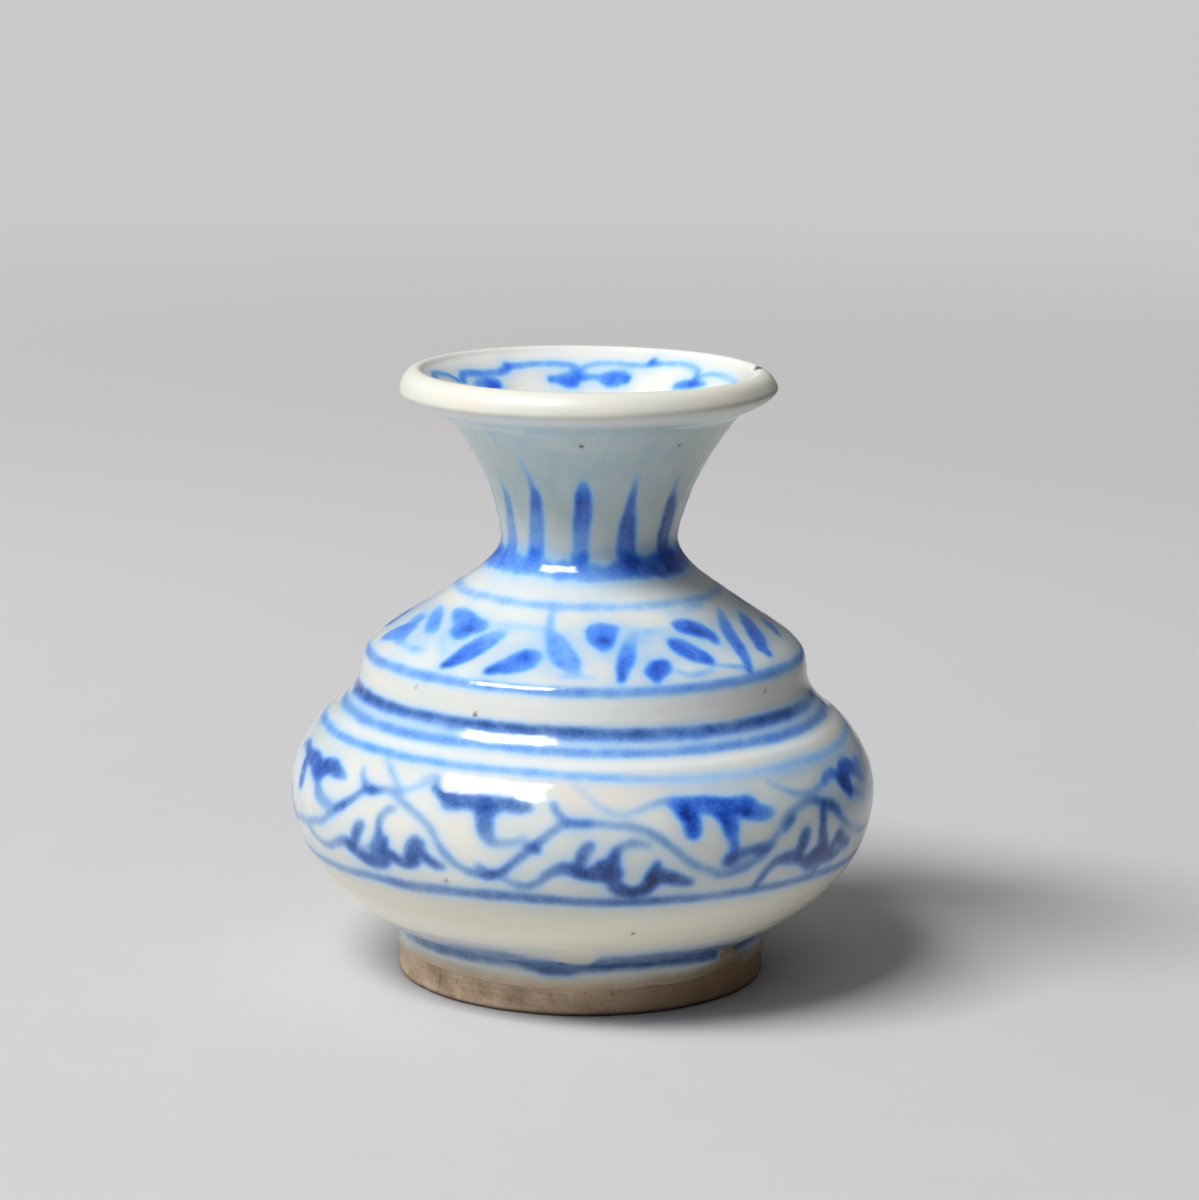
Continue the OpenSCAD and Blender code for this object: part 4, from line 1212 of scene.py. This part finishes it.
def glaze_material():
    material, graph = new_material("painted_glaze")
    broad = graph.noise(700, 2)
    blue = pigment_colour(graph, graph.noise(2400, 3, 0.6), broad)
    patchy = graph.plus(graph.times(graph.noise(260, 3, 0.6), 0.6), 0.65)
    thin = graph.times(graph.attribute("thin"), patchy, True)
    body = graph.mix(thin, ground_colour(graph, broad), thin_coat_colour(graph, broad))
    per_ground = tuple(1 / part for part in rgb(*GROUND)[:3])
    crease_shade = graph.vector("MULTIPLY", graph.vector("MULTIPLY", body, blue), per_ground)
    colour = graph.mix(graph.attribute("iron"), graph.vector("MINIMUM", crease_shade, BRIGHTEST), IRON_AND_PAINTED_SHADE)
    height = graph.plus(graph.noise(380, 2), graph.times(graph.noise(1500, 2), 0.12))
    rough = graph.plus(graph.times(graph.noise(900, 2), 0.06), 0.08)
    rough = graph.plus(graph.plus(rough, graph.times(thin, 0.45)), graph.times(graph.attribute("dull"), 0.28))
    graph.surface(colour, height, bump=0.35, distance=0.00012, roughness=rough, IOR=GLAZE_IOR)
    return material


def inside_material():
    material, graph = new_material("inside_glaze")
    body = graph.mix(graph.noise(90, 3), rgb(222, 224, 220), rgb(234, 234, 230))
    rough = graph.plus(graph.times(graph.noise(900, 2), 0.06), 0.1)
    height = graph.noise(380, 2)
    graph.surface(body, height, bump=0.35, distance=0.0002, roughness=rough, IOR=GLAZE_IOR)
    return material


def darkened_shaded_and_cracked(graph, colour, blotch):
    """The bare foot's darker right side, a painted shade along its lowest edge at the floor, and its fine
    cracks.
    """
    across, up = graph.axis("X"), graph.axis("Z")
    side = graph.step(graph.plus(across, graph.centred(blotch, 0.012)), -0.006, 0.018)
    colour = graph.mix(graph.times(side, 0.85), colour, rgb(142, 109, 75))
    # Painted shade: the lowest part of the foot turns nearly black, as the floor's contact shadow.
    colour = graph.mix(graph.times(graph.step(up, 0.0007, 0.0001), 0.8), colour, rgb(44, 34, 26))
    cracks = graph.flecks(graph.noise(620, 2, 0.5, stretch=(1, 1, 0.16)), 0.21, 0.26, 0.6)
    return graph.mix(cracks, colour, rgb(82, 62, 46))


def clay_material(name, dark, mid, light, scale=420, with_shade_and_cracks=False):
    material, graph = new_material(name)
    blotch, grit = graph.noise(240, 5, 0.68), graph.noise(scale * 4, 3, 0.65)
    colour = graph.ramp(blotch, [(0.34, rgb(*dark)), (0.5, rgb(*mid)), (0.66, rgb(*light))])
    if with_shade_and_cracks:
        colour = darkened_shaded_and_cracked(graph, colour, blotch)
    colour = graph.mix(graph.flecks(grit, 0.30, 0.38, 0.7), colour, rgb(*[int(c * 0.7) for c in dark]))
    height = graph.plus(graph.noise(scale, 3, 0.6, stretch=(1, 1, 5)), graph.times(grit, 0.5))
    rough = graph.plus(graph.times(grit, 0.15), 0.77)
    graph.surface(colour, height, bump=0.6, distance=0.0002, roughness=rough)
    return material


glaze = glaze_material()
inside_glaze = inside_material()
bare = clay_material("bare_clay", (194, 166, 138), (228, 198, 167), (246, 221, 193), with_shade_and_cracks=True)
clay = clay_material("clay_body", (186, 178, 160), (205, 198, 182), (218, 212, 198))
slip = clay_material("slip", (160, 148, 126), (182, 170, 148), (198, 187, 166), scale=600)


def finished(piece, material, slot, *nodes):
    """Dresses a piece, puts it under its body and hides the CAD solids that it stands for; its slot is not
    used.
    """
    piece.data.materials.clear()
    piece.data.materials.append(material)
    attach(piece, "root")
    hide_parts(*nodes)


for piece in glazes:
    finished(piece, glaze, "glaze_outside", "outer_glaze")
finished(mouth, glaze, "glaze_inside", "inner_glaze")
finished(inside, inside_glaze, "glaze_inside", "inner_glaze")
finished(foot, bare, "bare_clay", "foot_ring", "foot_luting_slip")
for node, piece in leaning.items():
    is_slip = node.endswith("slip")
    finished(piece, slip if is_slip else clay, "slip" if is_slip else "clay_body", node)


# The CAD solids get the materials of what they are
SOLIDS = {"outer_glaze": glaze, "inner_glaze": inside_glaze, "foot_ring": bare}
for node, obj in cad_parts.items():
    for slot in obj.material_slots:
        slot.material = SOLIDS.get(node, slip if node.endswith("slip") else clay)


# Floor, light and camera
BACKDROP = rgb(202, 200, 201)
FLOOR_RINGS = (.03, .05, .08, .12, .2, .35, .6, 1, 2, 4, 8)
FLOOR_SIDES = 96


def floor_mesh():
    """A disc whose rings lie closer together near the vase."""
    turns = [2 * math.pi * k / FLOOR_SIDES for k in range(FLOOR_SIDES)]
    points = [(0, 0, 0)] + [(r * math.cos(t), r * math.sin(t), 0) for r in FLOOR_RINGS for t in turns]
    faces = []
    for k in range(FLOOR_SIDES):
        n = (k + 1) % FLOOR_SIDES
        faces.append((0, 1 + k, 1 + n))
        for i in range(len(FLOOR_RINGS) - 1):
            a = 1 + i * FLOOR_SIDES
            b = a + FLOOR_SIDES
            faces.append((a + k, b + k, b + n, a + n))
    mesh = bpy.data.meshes.new("floor")
    mesh.from_pydata(points, [], faces)
    return mesh


def floor_material():
    """Grey paper, lighter towards the back for the camera as a painted light, and darker to the right in the
    light that it throws back.
    """
    material, graph = new_material("floor")
    path = graph.add("LightPath").outputs
    seen = graph.math("MAXIMUM", path["Is Camera Ray"], path["Is Transmission Ray"])
    far = graph.add("VectorMath", {0: graph.place()}, operation="LENGTH").outputs["Value"]
    tint = graph.mix(graph.noise(60, 5, 0.6), rgb(207, 206, 207), rgb(212, 211, 212))
    # Painted light: the paper is lighter towards the back.
    colour = graph.mix(graph.step(graph.axis("Y"), -0.05, 0.3), tint, rgb(222, 220, 221))
    bounce = graph.mix(graph.step(graph.axis("X"), 0.0, 0.25), rgb(216, 215, 215), rgb(112, 110, 111))
    diffuse = graph.add("BsdfDiffuse", {"Color": graph.mix(seen, bounce, colour)}).outputs[0]
    glow = graph.add("Emission", Color=BACKDROP, Strength=1.0).outputs[0]
    fade = graph.times(graph.step(far, 0.16, 0.9), seen)
    mixed = graph.add("MixShader", {"Fac": fade, 1: diffuse, 2: glow})
    graph.add("OutputMaterial", {"Surface": mixed.outputs[0]})
    return material


floor = link("floor", floor_mesh())
floor.data.materials.append(floor_material())

# The room is dark but for the left, the ceiling and a little from behind: axis, sign, power, strength
ROOM = ((0, -1, 1, 0.173), (2, 1, 2, 0.25), (1, 1, 1, 0.144))


def light_room():
    world = bpy.data.worlds.new("studio")
    bpy.context.scene.world = world
    world.use_nodes = True
    graph = Graph(world.node_tree)
    sides = graph.add("SeparateXYZ", {"Vector": graph.add("TexCoord").outputs["Generated"]}).outputs
    light = 0.0
    for axis, sign, power, strength in ROOM:
        side = graph.math("POWER", graph.times(sides[axis], sign, True), power)
        light = graph.plus(graph.times(side, strength), light)
    ambient = graph.add("Background", {"Strength": light}, Color=(1, 1, 1, 1)).outputs[0]
    shown = graph.add("Background", Color=BACKDROP, Strength=1.0).outputs[0]
    both = graph.add("MixShader", {0: graph.add("LightPath").outputs["Is Camera Ray"], 1: ambient, 2: shown})
    graph.add("OutputWorld", {"Surface": both.outputs[0]})


LAMP_AIM = Vector((0, 0, 0.035))


def softbox(name, azimuth, elevation, distance, width, height, power, roll):
    """A rectangular lamp aimed at the vase; azimuth is 0 on the camera's side and grows to the right."""
    a, e = math.radians(azimuth), math.radians(elevation)
    away = Vector((math.sin(a) * math.cos(e), -math.cos(a) * math.cos(e), math.sin(e)))
    lamp = bpy.data.lights.new(name, "AREA")
    lamp.shape, lamp.size, lamp.size_y, lamp.energy = "RECTANGLE", width, height, power
    obj = link(name, lamp)
    obj.location = LAMP_AIM + away * distance
    obj.rotation_mode = "QUATERNION"
    obj.rotation_quaternion = (-away).to_track_quat("-Z", "Y") @ Quaternion((0, 0, 1), math.radians(roll))


light_room()
softbox("key", azimuth=-50.8, elevation=54, distance=1.53, width=0.96, height=0.37, power=24.0, roll=18)

# The camera stands in front of the vase and a little above it, as the photo's did: place and lens in mm
CAMERA_PLACE = (-0.4, -462.05, 134.51)
CAMERA_RIGHT, CAMERA_UP = (0.99993, -0.002305, 0.011574), (-0.010909, 0.193417, 0.981056)
CAMERA_AHEAD = (0.0045, 0.98111, -0.19338)
SENSOR_WIDTH, LENS = 36, 122.83
camera = link("camera", bpy.data.cameras.new("camera"))
bpy.context.scene.camera = camera
camera.data.sensor_width, camera.data.lens = SENSOR_WIDTH, LENS
camera.data.clip_start, camera.data.clip_end = 0.01, 20
axes = Matrix([[r, u, -a] for r, u, a in zip(CAMERA_RIGHT, CAMERA_UP, CAMERA_AHEAD)])
camera.matrix_world = Matrix.Translation(Vector(CAMERA_PLACE) * MM) @ axes.to_4x4()

bpy.context.scene.view_settings.view_transform = "Standard"
